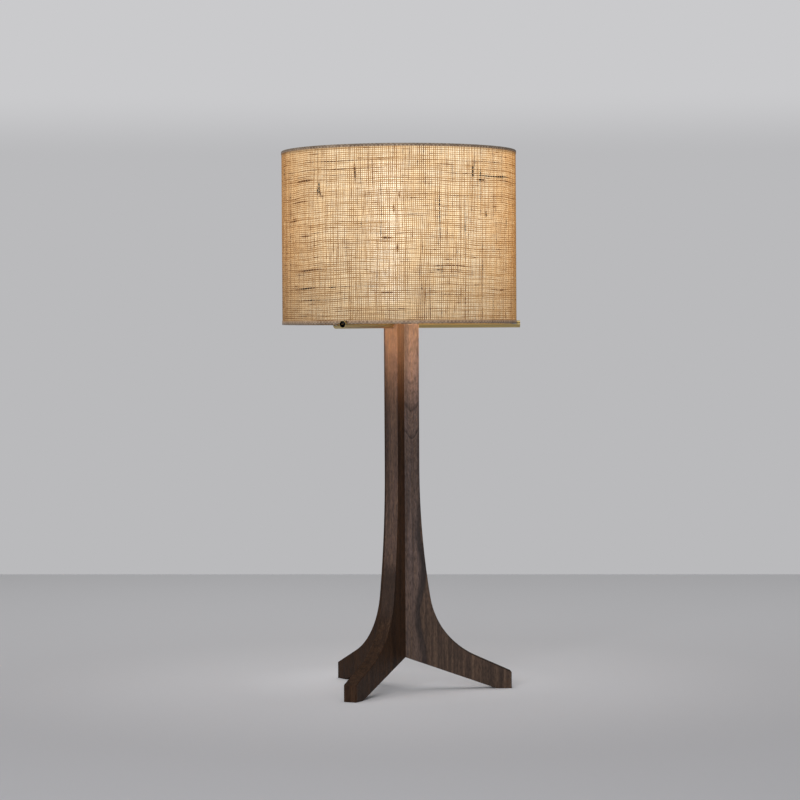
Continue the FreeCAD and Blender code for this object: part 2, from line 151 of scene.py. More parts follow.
class Signal:
    """A node's output, worked on with ordinary arithmetic."""

    def __init__(self, board: "NodeBoard", socket: bpy.types.NodeSocket) -> None:
        """Keeps the output and the board that further nodes go on."""
        self.board = board
        self.socket = socket

    def __add__(self, other: Any) -> "Signal":
        """Sum with another output or a number."""
        return self.board.maths("ADD", self, other)

    def __sub__(self, other: Any) -> "Signal":
        """Difference from another output or a number."""
        return self.board.maths("SUBTRACT", self, other)

    def __rsub__(self, other: float) -> "Signal":
        """What is left of a number."""
        return self.board.maths("SUBTRACT", other, self)

    def __mul__(self, other: Any) -> "Signal":
        """Product with another output or a number."""
        return self.board.maths("MULTIPLY", self, other)

    def __truediv__(self, other: Any) -> "Signal":
        """Quotient by another output or a number."""
        return self.board.maths("DIVIDE", self, other)

    def __abs__(self) -> "Signal":
        """Size without its sign."""
        return self.board.maths("ABSOLUTE", self)

    def remap(self, old: Range, new: Range = RISING) -> "Signal":
        """Turns one range of values smoothly into another, held at its ends.

        Args:
            old: Range that goes in.
            new: Range that comes out.

        Returns:
            The new value.
        """
        fed = {"Value": self, "From Min": old[0], "From Max": old[1], "To Min": new[0], "To Max": new[1]}
        return self.board.out("ShaderNodeMapRange", fed, interpolation_type="SMOOTHSTEP")

    def ramp(self, places: tuple[float, ...], colours: tuple[Colour, ...]) -> "Signal":
        """Colour that follows this value.

        Args:
            places: Places on the ramp, 0 to 1.
            colours: The colour at each.

        Returns:
            The colour.
        """
        made = self.board.node("ShaderNodeValToRGB", {0: self})
        elements = made.color_ramp.elements
        while len(elements) < len(places):
            elements.new(1.0)
        for element, place, colour in zip(elements, places, colours):
            element.position = place
            element.color = colour
        return Signal(self.board, made.outputs[0])

    def tinted(self, tint: Any) -> "Signal":
        """This colour multiplied by another, or by a number."""
        return self.board.mixed(1.0, self, tint, "MULTIPLY")

    def parts(self) -> list["Signal"]:
        """The three numbers of this vector."""
        made = self.board.node("ShaderNodeSeparateXYZ", {0: self})
        return [Signal(self.board, socket) for socket in made.outputs]

    def turned(self, azimuth: float) -> "Signal":
        """This vector in a frame whose X axis points at an azimuth."""
        fed = {"Vector": self, "Rotation": (0.0, 0.0, -math.radians(azimuth))}
        return self.board.out("ShaderNodeMapping", fed)

    def noise(self, grain: Grain) -> "Signal":
        """Cloudy noise at this place.

        Args:
            grain: Size of the noise's grains.

        Returns:
            Values about 0.5.
        """
        counts = grain.counts if isinstance(grain.counts, tuple) else (grain.counts,) * 3
        place = self.board.vectors("MULTIPLY", self, counts)
        fed = {"Vector": place, "Scale": 1.0, "Detail": grain.detail, "Roughness": grain.roughness}
        return self.board.out("ShaderNodeTexNoise", fed)

    def bumped(self, distance: float, strength: float) -> "Signal":
        """Normal of a surface with this small relief.

        Args:
            distance: Height of the relief in metres.
            strength: Share of the relief that shows.

        Returns:
            The normal.
        """
        return self.board.out("ShaderNodeBump", {"Strength": strength, "Distance": distance, "Height": self})


class NodeBoard:
    """Adds and joins the nodes of one node tree."""

    def __init__(self, tree: bpy.types.NodeTree) -> None:
        """Keeps the tree that the nodes go into."""
        self.tree = tree

    def feed(self, target: bpy.types.NodeSocket, value: Any) -> None:
        """Links an input to an output or sets its constant.

        Args:
            target: The input that is fed.
            value: A signal, a socket or a constant.
        """
        source = value.socket if isinstance(value, Signal) else value
        if isinstance(source, bpy.types.NodeSocket):
            self.tree.links.new(source, target)
        else:
            target.default_value = source

    def node(self, kind: str, fed: Fed | None = None, **options: Any) -> bpy.types.Node:
        """Adds a node.

        Args:
            kind: Blender's name of the node's type.
            fed: What its inputs take, by their names or places.
            options: Settings of the node.

        Returns:
            The new node.
        """
        made = self.tree.nodes.new(kind)
        for name, value in options.items():
            setattr(made, name, value)
        for name, value in (fed or {}).items():
            self.feed(made.inputs[name], value)
        return made

    def out(self, kind: str, fed: Fed | None = None, result: int | str = 0, **options: Any) -> Signal:
        """Adds a node for one of its outputs.

        Args:
            kind: Blender's name of the node's type.
            fed: What its inputs take, by their names or places.
            result: Name or place of the output.
            options: Settings of the node.

        Returns:
            The output.
        """
        return Signal(self, self.node(kind, fed, **options).outputs[result])

    def maths(self, operation: str, *values: Any) -> Signal:
        """Works out a number.

        Args:
            operation: Name of the operation.
            values: Signals or constants, in the operation's order.

        Returns:
            The result.
        """
        return self.out("ShaderNodeMath", dict(enumerate(values)), operation=operation)

    def vectors(self, operation: str, *values: Any) -> Signal:
        """Works out a vector, or a number from vectors.

        Args:
            operation: Name of the operation.
            values: Vectors, in the operation's order.

        Returns:
            The result.
        """
        result = "Value" if operation in ("LENGTH", "DISTANCE", "DOT_PRODUCT") else "Vector"
        return self.out("ShaderNodeVectorMath", dict(enumerate(values)), result, operation=operation)

    def joined(self, *values: Any) -> Signal:
        """Makes a vector of three numbers."""
        return self.out("ShaderNodeCombineXYZ", dict(enumerate(values)))

    def mixed(self, share: Any, first: Any, second: Any, blend: str = "MIX") -> Signal:
        """Mixes two colours.

        Args:
            share: Share of the second colour.
            first: The first colour.
            second: The second colour.
            blend: How they mix.

        Returns:
            The mixed colour.
        """
        fed = {0: share, 6: first, 7: second}
        return self.out("ShaderNodeMix", fed, 2, data_type="RGBA", blend_type=blend)

    def place(self) -> Signal:
        """Place on the piece in the lamp's frame."""
        return self.out("ShaderNodeTexCoord", result="Object")

    def normal(self) -> Signal:
        """Direction that the surface faces."""
        return self.out("ShaderNodeNewGeometry", result="Normal")

    def attribute(self, name: str) -> Signal:
        """Value of a named number kept on the mesh."""
        return self.out("ShaderNodeAttribute", result="Fac", attribute_name=name)


class Effect:
    """A shader node group that is built once and placed in several materials."""

    title: str = ""
    takes: dict[str, float | None] = {}
    gives: tuple[str, ...] = ()

    def draw(self, board: NodeBoard, source: dict[str, Signal]) -> Fed:
        """Draws the group's nodes.

        Args:
            board: Board of the group.
            source: The group's inputs.

        Returns:
            The results by their names.
        """
        raise NotImplementedError

    def tree(self) -> bpy.types.NodeTree:
        """The group, made at its first use."""
        found = bpy.data.node_groups.get(self.title)
        if found is not None:
            return found
        made = bpy.data.node_groups.new(self.title, "ShaderNodeTree")
        for name, value in self.takes.items():
            kind = "NodeSocketVector" if value is None else "NodeSocketFloat"
            taken = made.interface.new_socket(name=name, in_out="INPUT", socket_type=kind)
            if value is not None:
                taken.default_value = value
        for name in self.gives:
            kind = "NodeSocketVector" if name == "Place" else "NodeSocketFloat"
            made.interface.new_socket(name=name, in_out="OUTPUT", socket_type=kind)
        board = NodeBoard(made)
        inlets = board.node("NodeGroupInput").outputs
        source = {name: Signal(board, inlets[name]) for name in self.takes}
        board.node("NodeGroupOutput", self.draw(board, source))
        return made

    def use(self, board: NodeBoard, values: Fed) -> dict[str, Signal]:
        """Places the group in a material.

        Args:
            board: Board of the material.
            values: Signals or constants for the group's inputs.

        Returns:
            The group's outputs.
        """
        made = board.node("ShaderNodeGroup", values, node_tree=self.tree())
        return {name: Signal(board, made.outputs[name]) for name in self.gives}


class DrumUnwrapped(Effect):
    """Rolls a drum's surface out flat: distance round it, height and radius."""

    title = "drum unwrapped"
    takes = {"Place": None, "Radius": DRUM_RADIUS}
    gives = ("Place",)

    def draw(self, board: NodeBoard, source: dict[str, Signal]) -> Fed:
        """Draws the nodes; the seam of the unrolled sheet is at the back."""
        across, depth, height = source["Place"].parts()
        arc = board.maths("ARCTAN2", across, depth * -1.0) * source["Radius"]
        radius = board.vectors("LENGTH", board.joined(across, depth, 0.0))
        return {"Place": board.joined(arc, height, radius)}


class GlowSpread(Effect):
    """How strongly the shade glows, and where its glow is warmer: a painted pattern of the bulb's light.

    It is weaker towards the lower rim, at the lower left and right under the upper rim, and warmer
    at the left, at the right and under the upper rim.
    """

    title = "glow spread"
    takes = {"Place": None, "Low Share": 0.6}
    gives = ("Share", "Sides")
    heights: Range = (0.490, 0.640)
    lean_share: float = 0.16
    side_offsets: Range = (0.50, 1.0)
    side_heights: Range = (0.500, 0.600)
    low_side_share: float = 0.65
    dusk_heights: Range = (0.7205, 0.7250)
    dusk_depth: float = 0.55
    dusk_warmth: float = 0.7
    left_heights: Range = (0.500, 0.580)
    left_share: float = 0.20

    def draw(self, board: NodeBoard, source: dict[str, Signal]) -> Fed:
        """Draws the fades with height and the lean to one side."""
        across, _, height = source["Place"].parts()
        fade = height.remap(self.heights) * (1.0 - source["Low Share"]) + source["Low Share"]
        # Painted light: the glow leans brighter towards +X.
        lean = across * (self.lean_share / DRUM_RADIUS) + 1.0
        offside = abs(across) / DRUM_RADIUS
        # Painted shade: a band just under the upper rim, deeper towards the left and right.
        dusk = height.remap(self.dusk_heights)
        shaded = dusk * offside * -self.dusk_depth + 1.0
        # Painted shade at the lower left.
        left = board.maths("MINIMUM", across, 0.0) / DRUM_RADIUS
        sunk = left * height.remap(self.left_heights, (self.left_share, 0.0)) + 1.0
        raised = height.remap(self.side_heights, (self.low_side_share, 1.0))
        sides = offside.remap(self.side_offsets) * raised
        return {
            "Share": fade * lean * shaded * sunk,
            "Sides": board.maths("MAXIMUM", sides, dusk * self.dusk_warmth),
        }


class BoardGrain(Effect):
    """Grain of a walnut board that stands on end, its width along X and its thickness along Y."""

    title = "board grain"
    takes = {"Place": None, "Seed": 0.0, "Heart": 0.0145, "Low": 0.340, "High": 0.47, "Vein": 0.0277}
    gives = (
        "Arcs", "Chevrons", "Vein", "Outside", "End Grain And Foot Shade", "Streak", "Pores", "Dashes", "Fibre", "Mottle",
        "Cloud",
    )
    grains: dict[str, Grain] = {
        "Streak": Grain((140.0, 140.0, 3.4), 4.0, 0.6),
        "Cloud": Grain((24.0, 24.0, 9.0), 3.0),
        "Pores": Grain((1100.0, 1100.0, 150.0), 1.0),
        "Dashes": Grain((680.0, 680.0, 130.0), 1.0),
        "Fibre": Grain((480.0, 480.0, 12.0), 5.0, 0.7),
        "Mottle": Grain((330.0, 330.0, 120.0), 3.0, 0.6),
    }
    contrasts: dict[str, Range] = {"Streak": (0.42, 0.62), "Pores": (0.54, 0.68), "Dashes": (0.58, 0.70)}
    wobble: Grain = Grain((150.0, 150.0, 55.0), 3.0, 0.6)
    wobble_height: float = 0.009
    heart_bluntness: float = 0.0000035
    arc_slope: float = 1.35
    arc_spacing: float = 0.0365
    arc_edge: Range = (0.0, 0.03)
    arc_tail: Range = (0.03, 0.22)
    arc_start: Range = (-0.002, -0.0005)
    chevron_turns: float = 1250.0
    chevron_start: Range = (-0.055, -0.02)
    top_reach: Range = (0.0, 0.06)
    swing_turns: float = 52.4
    swing_seed: float = -0.34
    swing_width: float = 0.0041
    fray: Grain = Grain((300.0, 300.0, 80.0))
    fray_width: float = 0.004
    vein_inside: Range = (-0.0088, -0.0024)
    vein_outside: Range = (0.001, 0.0035)
    vein_low: Range = (0.115, 0.150)
    vein_low_share: float = 0.86
    vein_high: Range = (0.17, 0.30)
    vein_high_share: float = 0.2
    outside_edge: Range = (-0.001, 0.002)
    outside_low: Range = (0.10, 0.20)
    outside_low_share: float = 0.4
    end_facing: Range = (0.06, 0.85)
    foot_shade_edge: Range = (0.1484, 0.1492)

    def draw(self, board: NodeBoard, source: dict[str, Signal]) -> Fed:
        """Draws cathedral arcs, a dark vein, streaks, pores, fibre and darker ends: end grain with painted
        shade on upward faces, and painted shade on the feet's outer ends.
        """
        seed = source["Seed"]
        place = board.vectors("ADD", source["Place"], board.joined(seed, seed, seed))
        across, _, height = source["Place"].parts()
        offset = across - source["Heart"]
        flank = board.maths("SQRT", offset * offset + self.heart_bluntness)
        sagged = flank * -self.arc_slope + height
        level = (place.noise(self.wobble) - 0.5) * self.wobble_height + sagged
        risen = level - source["Low"]
        phase = board.maths("FRACT", risen / self.arc_spacing)
        arcs = phase.remap(self.arc_edge) * phase.remap(self.arc_tail, FALLING)
        chevrons = board.maths("SINE", level * self.chevron_turns) * 0.5 + 0.5
        top = (source["High"] - height).remap(self.top_reach)
        swing = board.maths("SINE", height * self.swing_turns + seed * self.swing_seed)
        apart = across - (swing * self.swing_width + source["Vein"])
        frayed = (place.noise(self.fray) - 0.5) * self.fray_width + apart
        vein = frayed.remap(self.vein_inside) * frayed.remap(self.vein_outside, FALLING)
        low = height.remap(self.vein_low, (self.vein_low_share, 1.0))
        high = height.remap(self.vein_high, (1.0, self.vein_high_share))
        lowest = height.remap(self.outside_low, (self.outside_low_share, 0.0))
        # Upward faces are end grain, darkened further by painted shade where little light falls from above.
        upward = abs(board.normal().parts()[2]).remap(self.end_facing)
        noises = {name: place.noise(grain) for name, grain in self.grains.items()}
        sharpened = {name: noises[name].remap(contrast) for name, contrast in self.contrasts.items()}
        return {
            "Arcs": arcs * risen.remap(self.arc_start) * top,
            "Chevrons": chevrons * risen.remap(self.chevron_start) * top,
            "Vein": vein * high * low,
            "Outside": board.maths("MAXIMUM", frayed.remap(self.outside_edge), lowest),
            # The feet's outer ends are darkened too: painted shade near the floor.
            "End Grain And Foot Shade": board.maths("MAXIMUM", upward, across.remap(self.foot_shade_edge)),
            **noises,
            **sharpened,
        }


class Handling(Effect):
    """Marks that use leaves on a small hard piece: dull patches, fine lines and specks."""

    title = "handling marks"
    takes = {"Place": None, "Grain": 1.0}
    gives = ("Dull", "Lines", "Specks")
    dull: Grain = Grain(45.0, 4.0, 0.6)
    lines: Grain = Grain((2600.0, 2600.0, 90.0), 2.0, 0.6)
    specks: Grain = Grain(1400.0, 1.0)
    dull_contrast: Range = (0.40, 0.66)
    speck_contrast: Range = (0.60, 0.74)

    def draw(self, board: NodeBoard, source: dict[str, Signal]) -> Fed:
        """Draws three sizes of marks."""
        grain = source["Grain"]
        place = board.vectors("MULTIPLY", source["Place"], board.joined(grain, grain, grain))
        return {
            "Dull": place.noise(self.dull).remap(self.dull_contrast),
            "Lines": place.noise(self.lines),
            "Specks": place.noise(self.specks).remap(self.speck_contrast),
        }


class YarnFibre(Effect):
    """Fibres of a spun yarn, across its width along X and its length along Y."""

    title = "yarn fibre"
    takes = {"Place": None}
    gives = ("Strands", "Twist", "Patches")
    grains: dict[str, Grain] = {
        "Strands": Grain((5200.0, 420.0, 5200.0), 3.0, 0.6),
        "Twist": Grain((1500.0, 900.0, 1500.0)),
        "Patches": Grain(60.0, 3.0, 0.55),
    }

    def draw(self, board: NodeBoard, source: dict[str, Signal]) -> Fed:
        """Draws fine strands, the yarn's twist and slow changes of colour."""
        return {name: source["Place"].noise(grain) for name, grain in self.grains.items()}


def yarn_tone(board: NodeBoard, fibre: dict[str, Signal], strand_share: float, patch_share: float) -> Signal:
    """Tone of a yarn: the one kept on the mesh, made uneven by its fibres.

    Args:
        board: Board of the material.
        fibre: Outputs of the yarn fibre.
        strand_share: How far the fine strands change it.
        patch_share: How far the slow patches change it.

    Returns:
        The tone, 0 to 1.
    """
    tone = board.attribute("tone")
    for name, share in (("Strands", strand_share), ("Patches", patch_share)):
        tone = tone + (fibre[name] - 0.5) * share
    return tone


@dataclass(frozen=True)
class Finish:
    """Finish of a surface."""

    name: str

    def dress(self, board: NodeBoard) -> Fed:
        """Draws the finish's nodes.

        Args:
            board: Board of the material.

        Returns:
            What the surface shader's inputs take.
        """
        raise NotImplementedError

    def material(self) -> bpy.types.Material:
        """The material, made at its first use."""
        found = bpy.data.materials.get(self.name)
        if found is not None:
            return found
        made = bpy.data.materials.new(self.name)
        made.use_nodes = True
        board = NodeBoard(made.node_tree)
        shader = made.node_tree.nodes["Principled BSDF"]
        for name, value in self.dress(board).items():
            board.feed(shader.inputs[name], value)
        return made


@dataclass(frozen=True)
class Walnut(Finish):
    """Dark oiled walnut of one board, its grain upright.

    The side tints are painted light and shade on the board's wide faces, below and above the heights of
    painted_side_fade.
    """

    azimuth: float = 0.0
    seed: float = 0.0
    heart: float = 0.0145
    low: float = 0.3368
    high: float = 0.447
    vein: float = 0.0277
    light: Colour = paint(104, 82, 66)
    middle: Colour = paint(74, 56, 45)
    heartwood: Colour = paint(91, 75, 71)
    dark: Colour = paint(42, 31, 27)
    vein_colour: Colour = paint(30, 23, 23)
    painted_side_tint: Colour = PLAIN
    painted_top_side_tint: Colour = PLAIN
    painted_side_fade: Range = (0.39, 0.49)
    painted_side_facing: Range = (0.5, 0.9)
    pore: Colour = paint(24, 18, 14)
    fibre_contrast: Range = (0.40, 0.68)
    fibre_share: float = 0.8
    streak_share: float = 0.55
    arc_share: float = 0.8
    chevron_share: float = 0.3
    vein_share: float = 0.86
    cloud_share: float = 0.7
    cloud_range: Range = (0.74, 1.26)
    mottle_share: float = 0.7
    mottle_range: Range = (0.68, 1.32)
    pore_share: float = 0.45
    dash_share: float = 0.32
    end_share: float = 0.42
    end_figure_loss: float = 0.5
    gloss_level: float = 0.2
    end_gloss_loss: float = 0.85

    def dress(self, board: NodeBoard) -> Fed:
        """Draws grain, streaks, pores, dark ends of end grain and painted shade, painted light and shade on
        the wide faces, and a soft oiled sheen.
        """
        place = board.place().turned(self.azimuth)
        values = {
            "Place": place, "Seed": self.seed, "Heart": self.heart, "Low": self.low, "High": self.high,
            "Vein": self.vein,
        }
        grain = BoardGrain().use(board, values)
        sides = grain["End Grain And Foot Shade"] * -self.end_figure_loss + 1.0
        wood = board.mixed(grain["Outside"], self.heartwood, self.middle)
        for share, colour in (
            (grain["Fibre"].remap(self.fibre_contrast, (0.0, self.fibre_share)) * sides, self.light),
            (grain["Streak"] * self.streak_share, self.dark),
            (grain["Chevrons"] * (self.arc_share * self.chevron_share), self.dark),
            (grain["Arcs"] * self.arc_share, self.dark),
            (grain["Vein"] * self.vein_share, self.vein_colour),
        ):
            wood = board.mixed(share, wood, colour)
        clouds = grain["Cloud"].remap(NOISE_SPREAD, self.cloud_range)
        mottle = grain["Mottle"].remap(NOISE_SPREAD, self.mottle_range)
        wood = board.mixed(self.cloud_share, wood, clouds, "MULTIPLY")
        wood = board.mixed(sides * self.mottle_share, wood, mottle, "MULTIPLY")
        wood = board.mixed(grain["Pores"] * self.pore_share, wood, self.pore)
        wood = board.mixed(grain["Dashes"] * self.dash_share, wood, self.pore)
        # Painted light and shade: the wide faces take one tint below painted_side_fade and another above it.
        wide = abs(board.normal().turned(self.azimuth).parts()[1]).remap(self.painted_side_facing)
        low = place.parts()[2].remap(self.painted_side_fade, FALLING)
        tint = board.mixed(low, self.painted_top_side_tint, self.painted_side_tint)
        wood = board.mixed(wide, wood, wood.tinted(tint))
        relief = grain["Fibre"] - (grain["Pores"] + grain["Dashes"])
        dulled = grain["End Grain And Foot Shade"] * (-self.end_gloss_loss * self.gloss_level)
        return {
            # Darkened ends: end grain, with painted shade on upward faces and the feet's outer ends.
            "Base Color": wood.tinted(grain["End Grain And Foot Shade"] * -self.end_share + 1.0),
            "Roughness": grain["Fibre"].remap(NOISE_SPREAD, (0.40, 0.55)),
            "Normal": relief.bumped(distance=0.00015, strength=0.7),
            "Specular IOR Level": dulled + self.gloss_level,
        }


@dataclass(frozen=True)
class Metal(Finish):
    """Metal with dull patches, brush lines and specks."""

    bright: Colour = paint(200, 180, 130)
    dull: Colour = paint(150, 125, 80)
    roughness: Range = (0.25, 0.4)
    grain: float = 1.0
    speck_share: float = 0.35
    line_height: float = 0.00002

    def dress(self, board: NodeBoard) -> Fed:
        """Draws the metal's colour, gloss and fine relief."""
        marks = Handling().use(board, {"Place": board.place(), "Grain": self.grain})
        colour = board.mixed(marks["Dull"], self.bright, self.dull)
        return {
            "Base Color": board.mixed(marks["Specks"] * self.speck_share, colour, self.dull),
            "Metallic": 1.0,
            "Roughness": marks["Dull"].remap(RISING, self.roughness),
            "Normal": marks["Lines"].bumped(self.line_height, strength=0.6),
        }


@dataclass(frozen=True)
class TubeBrass(Finish):
    """Satin brass tube that points outward, brushed along its length, its bore near black with tarnish and
    painted shade.
    """

    azimuth: float = 0.0
    axis_height: float = 0.495
    bore_edge: Range = (0.0042, 0.0045)
    stretch: float = 0.03
    bright: Colour = paint(208, 186, 130)
    dull: Colour = paint(190, 167, 112)
    # Near-black bore colour: tarnish and painted shade.
    bore: Colour = paint(10, 8, 6)
    roughness: Range = (0.34, 0.44)
    bore_roughness: float = 0.8
    gloss_level: float = 0.5
    bore_gloss_loss: float = 0.45

    def dress(self, board: NodeBoard) -> Fed:
        """Draws brushed brass outside, and a near-black bore of tarnish and painted shade inside."""
        along, across, height = board.place().turned(self.azimuth).parts()
        rise = height - self.axis_height
        radius = board.maths("SQRT", rise * rise + across * across)
        bore_tarnish_and_shade = radius.remap(self.bore_edge, FALLING)
        marks = Handling().use(board, {"Place": board.joined(along * self.stretch, across, rise)})
        colour = board.mixed(marks["Dull"], self.bright, self.dull)
        worn = marks["Specks"].remap(RISING, self.roughness)
        return {
            "Base Color": board.mixed(bore_tarnish_and_shade, colour, self.bore),
            "Metallic": 1.0 - bore_tarnish_and_shade,
            "Roughness": board.maths("MAXIMUM", worn, bore_tarnish_and_shade * self.bore_roughness),
            "Specular IOR Level": bore_tarnish_and_shade * -self.bore_gloss_loss + self.gloss_level,
            "Normal": marks["Specks"].bumped(distance=0.000004, strength=0.5),
        }


@dataclass(frozen=True)
class Moulded(Finish):
    """Moulded plastic, fibre board or ceramic with faint mottling."""

    colour: Colour = paint(30, 28, 26)
    mottle: Colour = paint(44, 41, 38)
    roughness: Range = (0.35, 0.5)
    relief_height: float = 0.00003
    coat: float = 0.0

    def dress(self, board: NodeBoard) -> Fed:
        """Draws mottled colour, uneven gloss and a fine skin."""
        marks = Handling().use(board, {"Place": board.place()})
        return {
            "Base Color": board.mixed(marks["Dull"], self.colour, self.mottle),
            "Roughness": marks["Dull"].remap(RISING, self.roughness),
            "Normal": marks["Specks"].bumped(self.relief_height, strength=0.5),
            "Coat Weight": self.coat,
        }


@dataclass(frozen=True)
class FrostedGlass(Finish):
    """Frosted globe that glows evenly, a little brighter in its middle."""

    colour: Colour = paint(236, 232, 224)
    edge: Colour = paint(255, 190, 118)
    core: Colour = paint(255, 243, 222)
    middle_height: float = 0.650
    reach: Range = (0.0, 0.046)
    strength: float = 1.8
    frost: Grain = Grain(1800.0)

    def dress(self, board: NodeBoard) -> Fed:
        """Draws the glow about the filament's height and faint frosting."""
        place = board.place()
        away = abs(place.parts()[2] - self.middle_height)
        frost = place.noise(self.frost)
        return {
            "Base Color": self.colour,
            "Roughness": frost.remap(NOISE_SPREAD, (0.32, 0.46)),
            "Emission Color": board.mixed(away.remap(self.reach), self.core, self.edge),
            "Emission Strength": self.strength,
            "Normal": frost.bumped(distance=0.00002, strength=0.4),
        }


@dataclass(frozen=True)
class ClearGlass(Finish):
    """Clear glass with a faint streak."""

    colour: Colour = paint(244, 250, 248)
    streak: Grain = Grain((400.0, 400.0, 60.0))

    def dress(self, board: NodeBoard) -> Fed:
        """Draws slightly uneven clear glass."""
        roughness = board.place().noise(self.streak).remap(NOISE_SPREAD, (0.01, 0.06))
        return {"Base Color": self.colour, "Roughness": roughness, "IOR": 1.5, "Transmission Weight": 1.0}


@dataclass(frozen=True)
class HotWire(Finish):
    """Coiled filament that glows."""

    metal: Colour = paint(90, 84, 78)
    shaded: Colour = paint(255, 170, 80)
    hot: Colour = paint(255, 236, 190)
    strength: float = 8.0
    turns: Grain = Grain((3000.0, 3000.0, 600.0), 1.0)

    def dress(self, board: NodeBoard) -> Fed:
        """Draws the coil's turns as bright and dark rings."""
        turns = board.place().noise(self.turns)
        return {
            "Base Color": self.metal,
            "Roughness": turns.remap(NOISE_SPREAD, (0.3, 0.6)),
            "Emission Color": board.mixed(turns.remap((0.4, 0.6)), self.shaded, self.hot),
            "Emission Strength": self.strength,
        }


@dataclass(frozen=True)
class ShadeLining(Finish):
    """Translucent cream lining of the shade, warm from the bulb."""

    colour: Colour = paint(232, 214, 184)
    stain: Colour = paint(222, 198, 160)
    glow: Colour = paint(255, 206, 146)
    strength: float = 0.25
    cloud: Grain = Grain(40.0, 3.0)
    cloud_contrast: Range = (0.35, 0.65)
    stain_shares: Range = (0.0, 0.4)
    skin: Grain = Grain(1200.0)

    def dress(self, board: NodeBoard) -> Fed:
        """Draws the lining's faint mottling and glow."""
        share = board.place().noise(self.cloud).remap(self.cloud_contrast, self.stain_shares)
        skin = board.place().noise(self.skin)
        return {
            "Base Color": board.mixed(share, self.colour, self.stain),
            "Roughness": skin.remap(NOISE_SPREAD, (0.42, 0.58)),
            "Emission Color": board.mixed(share, self.glow, self.stain),
            "Emission Strength": self.strength,
            "Normal": skin.bumped(distance=0.00004, strength=0.4),
        }


@dataclass(frozen=True)
class BurlapGround(Finish):
    """What shows between the yarns: lit lining behind a haze of loose fibres."""

    colour: Colour = paint(180, 156, 124)
    glow: Colour = paint(255, 250, 224)
    haze: Colour = paint(232, 202, 153)
    side_glow: Colour = (0.93, 0.79, 0.61, 1.0)
    strength: float = 0.80
    low_share: float = 0.58
    cloud: Grain = Grain(38.0, 3.0, 0.6)
    cloud_contrast: Range = (0.36, 0.68)
    cloud_shares: Range = (0.0, 0.4)
    fuzz: Grain = Grain(900.0, 3.0, 0.65)
    fuzz_contrast: Range = (0.42, 0.66)
    fuzz_shares: Range = (0.0, 0.5)

    def dress(self, board: NodeBoard) -> Fed:
        """Draws a glow that fades towards the lower rim, hazy with fibres."""
        place = board.place()
        flat = DrumUnwrapped().use(board, {"Place": place})["Place"]
        fuzz = flat.noise(self.fuzz)
        clouds = flat.noise(self.cloud).remap(self.cloud_contrast, self.cloud_shares)
        haze = clouds + fuzz.remap(self.fuzz_contrast, self.fuzz_shares)
        glow = board.mixed(haze, self.glow, self.haze)
        spread = GlowSpread().use(board, {"Place": place, "Low Share": self.low_share})
        sided = board.mixed(spread["Sides"], glow, glow.tinted(self.side_glow))
        return {
            "Base Color": board.mixed(haze, self.colour, self.haze),
            "Emission Color": sided.tinted(spread["Share"]),
            "Emission Strength": self.strength,
            "Roughness": fuzz.remap(NOISE_SPREAD, (0.18, 0.30)),
            "Normal": fuzz.bumped(distance=0.00003, strength=0.3),
        }


@dataclass(frozen=True)
class BurlapYarn(Finish):
    """Jute yarn lit from behind; the tone kept on the mesh runs from straw over tan and brown to a knot."""

    lay: Lay = Lay.WARP
    tones: tuple[float, ...] = (0.0, 0.38, 0.72, 1.0)
    body: tuple[Colour, ...] = (
        paint(160, 132, 100), paint(122, 94, 66), paint(82, 58, 38), paint(30, 22, 18),
    )
    lit: tuple[Colour, ...] = (
        paint(228, 191, 135), paint(192, 148, 95), paint(141, 97, 57), paint(14, 9, 6),
    )
    strength: float = 0.635
    side_glow: Colour = (0.93, 0.79, 0.61, 1.0)
    flank: Colour = (0.88, 0.58, 0.27, 1.0)
    flank_reach: Range = (0.10, 0.55)
    strand_share: float = 0.36
    patch_share: float = 0.30
    crossing_share: float = 0.30
    low_share: float = 0.62

    def dress(self, board: NodeBoard) -> Fed:
        """Draws fibres along the yarn, its colour by tone, and the light through it."""
        place = board.place()
        flat = DrumUnwrapped().use(board, {"Place": place})["Place"]
        arc, height, radius = flat.parts()
        along = board.joined(height, arc, radius) if self.lay is Lay.WEFT else flat
        fibre = YarnFibre().use(board, {"Place": along})
        tone = yarn_tone(board, fibre, self.strand_share, self.patch_share)
        lit = tone.ramp(self.tones, self.lit)
        doubled = board.maths("COSINE", board.attribute("crossing") * FULL_TURN) * 0.5 + 0.5
        spread = GlowSpread().use(board, {"Place": place, "Low Share": self.low_share})
        passed = spread["Share"] * (doubled * -self.crossing_share + 1.0)
        # Painted light: where a yarn's flanks face sideways its glow is warmer, as light seen through its
        # thin edges.
        across, depth, _ = place.parts()
        outward = board.vectors("NORMALIZE", board.joined(across, depth, 0.0))
        facing = board.vectors("DOT_PRODUCT", board.normal(), outward)
        flanked = abs(facing).remap(self.flank_reach, FALLING)
        sided = board.mixed(spread["Sides"], lit, lit.tinted(self.side_glow))
        warmed = board.mixed(flanked, sided, sided.tinted(self.flank))
        return {
            "Base Color": tone.ramp(self.tones, self.body),
            "Emission Color": warmed.tinted(passed),
            "Emission Strength": self.strength,
            "Roughness": fibre["Twist"].remap(NOISE_SPREAD, (0.62, 0.85)),
            "Normal": (fibre["Strands"] + fibre["Twist"]).bumped(distance=0.00012, strength=0.8),
            "Specular IOR Level": 0.25,
        }


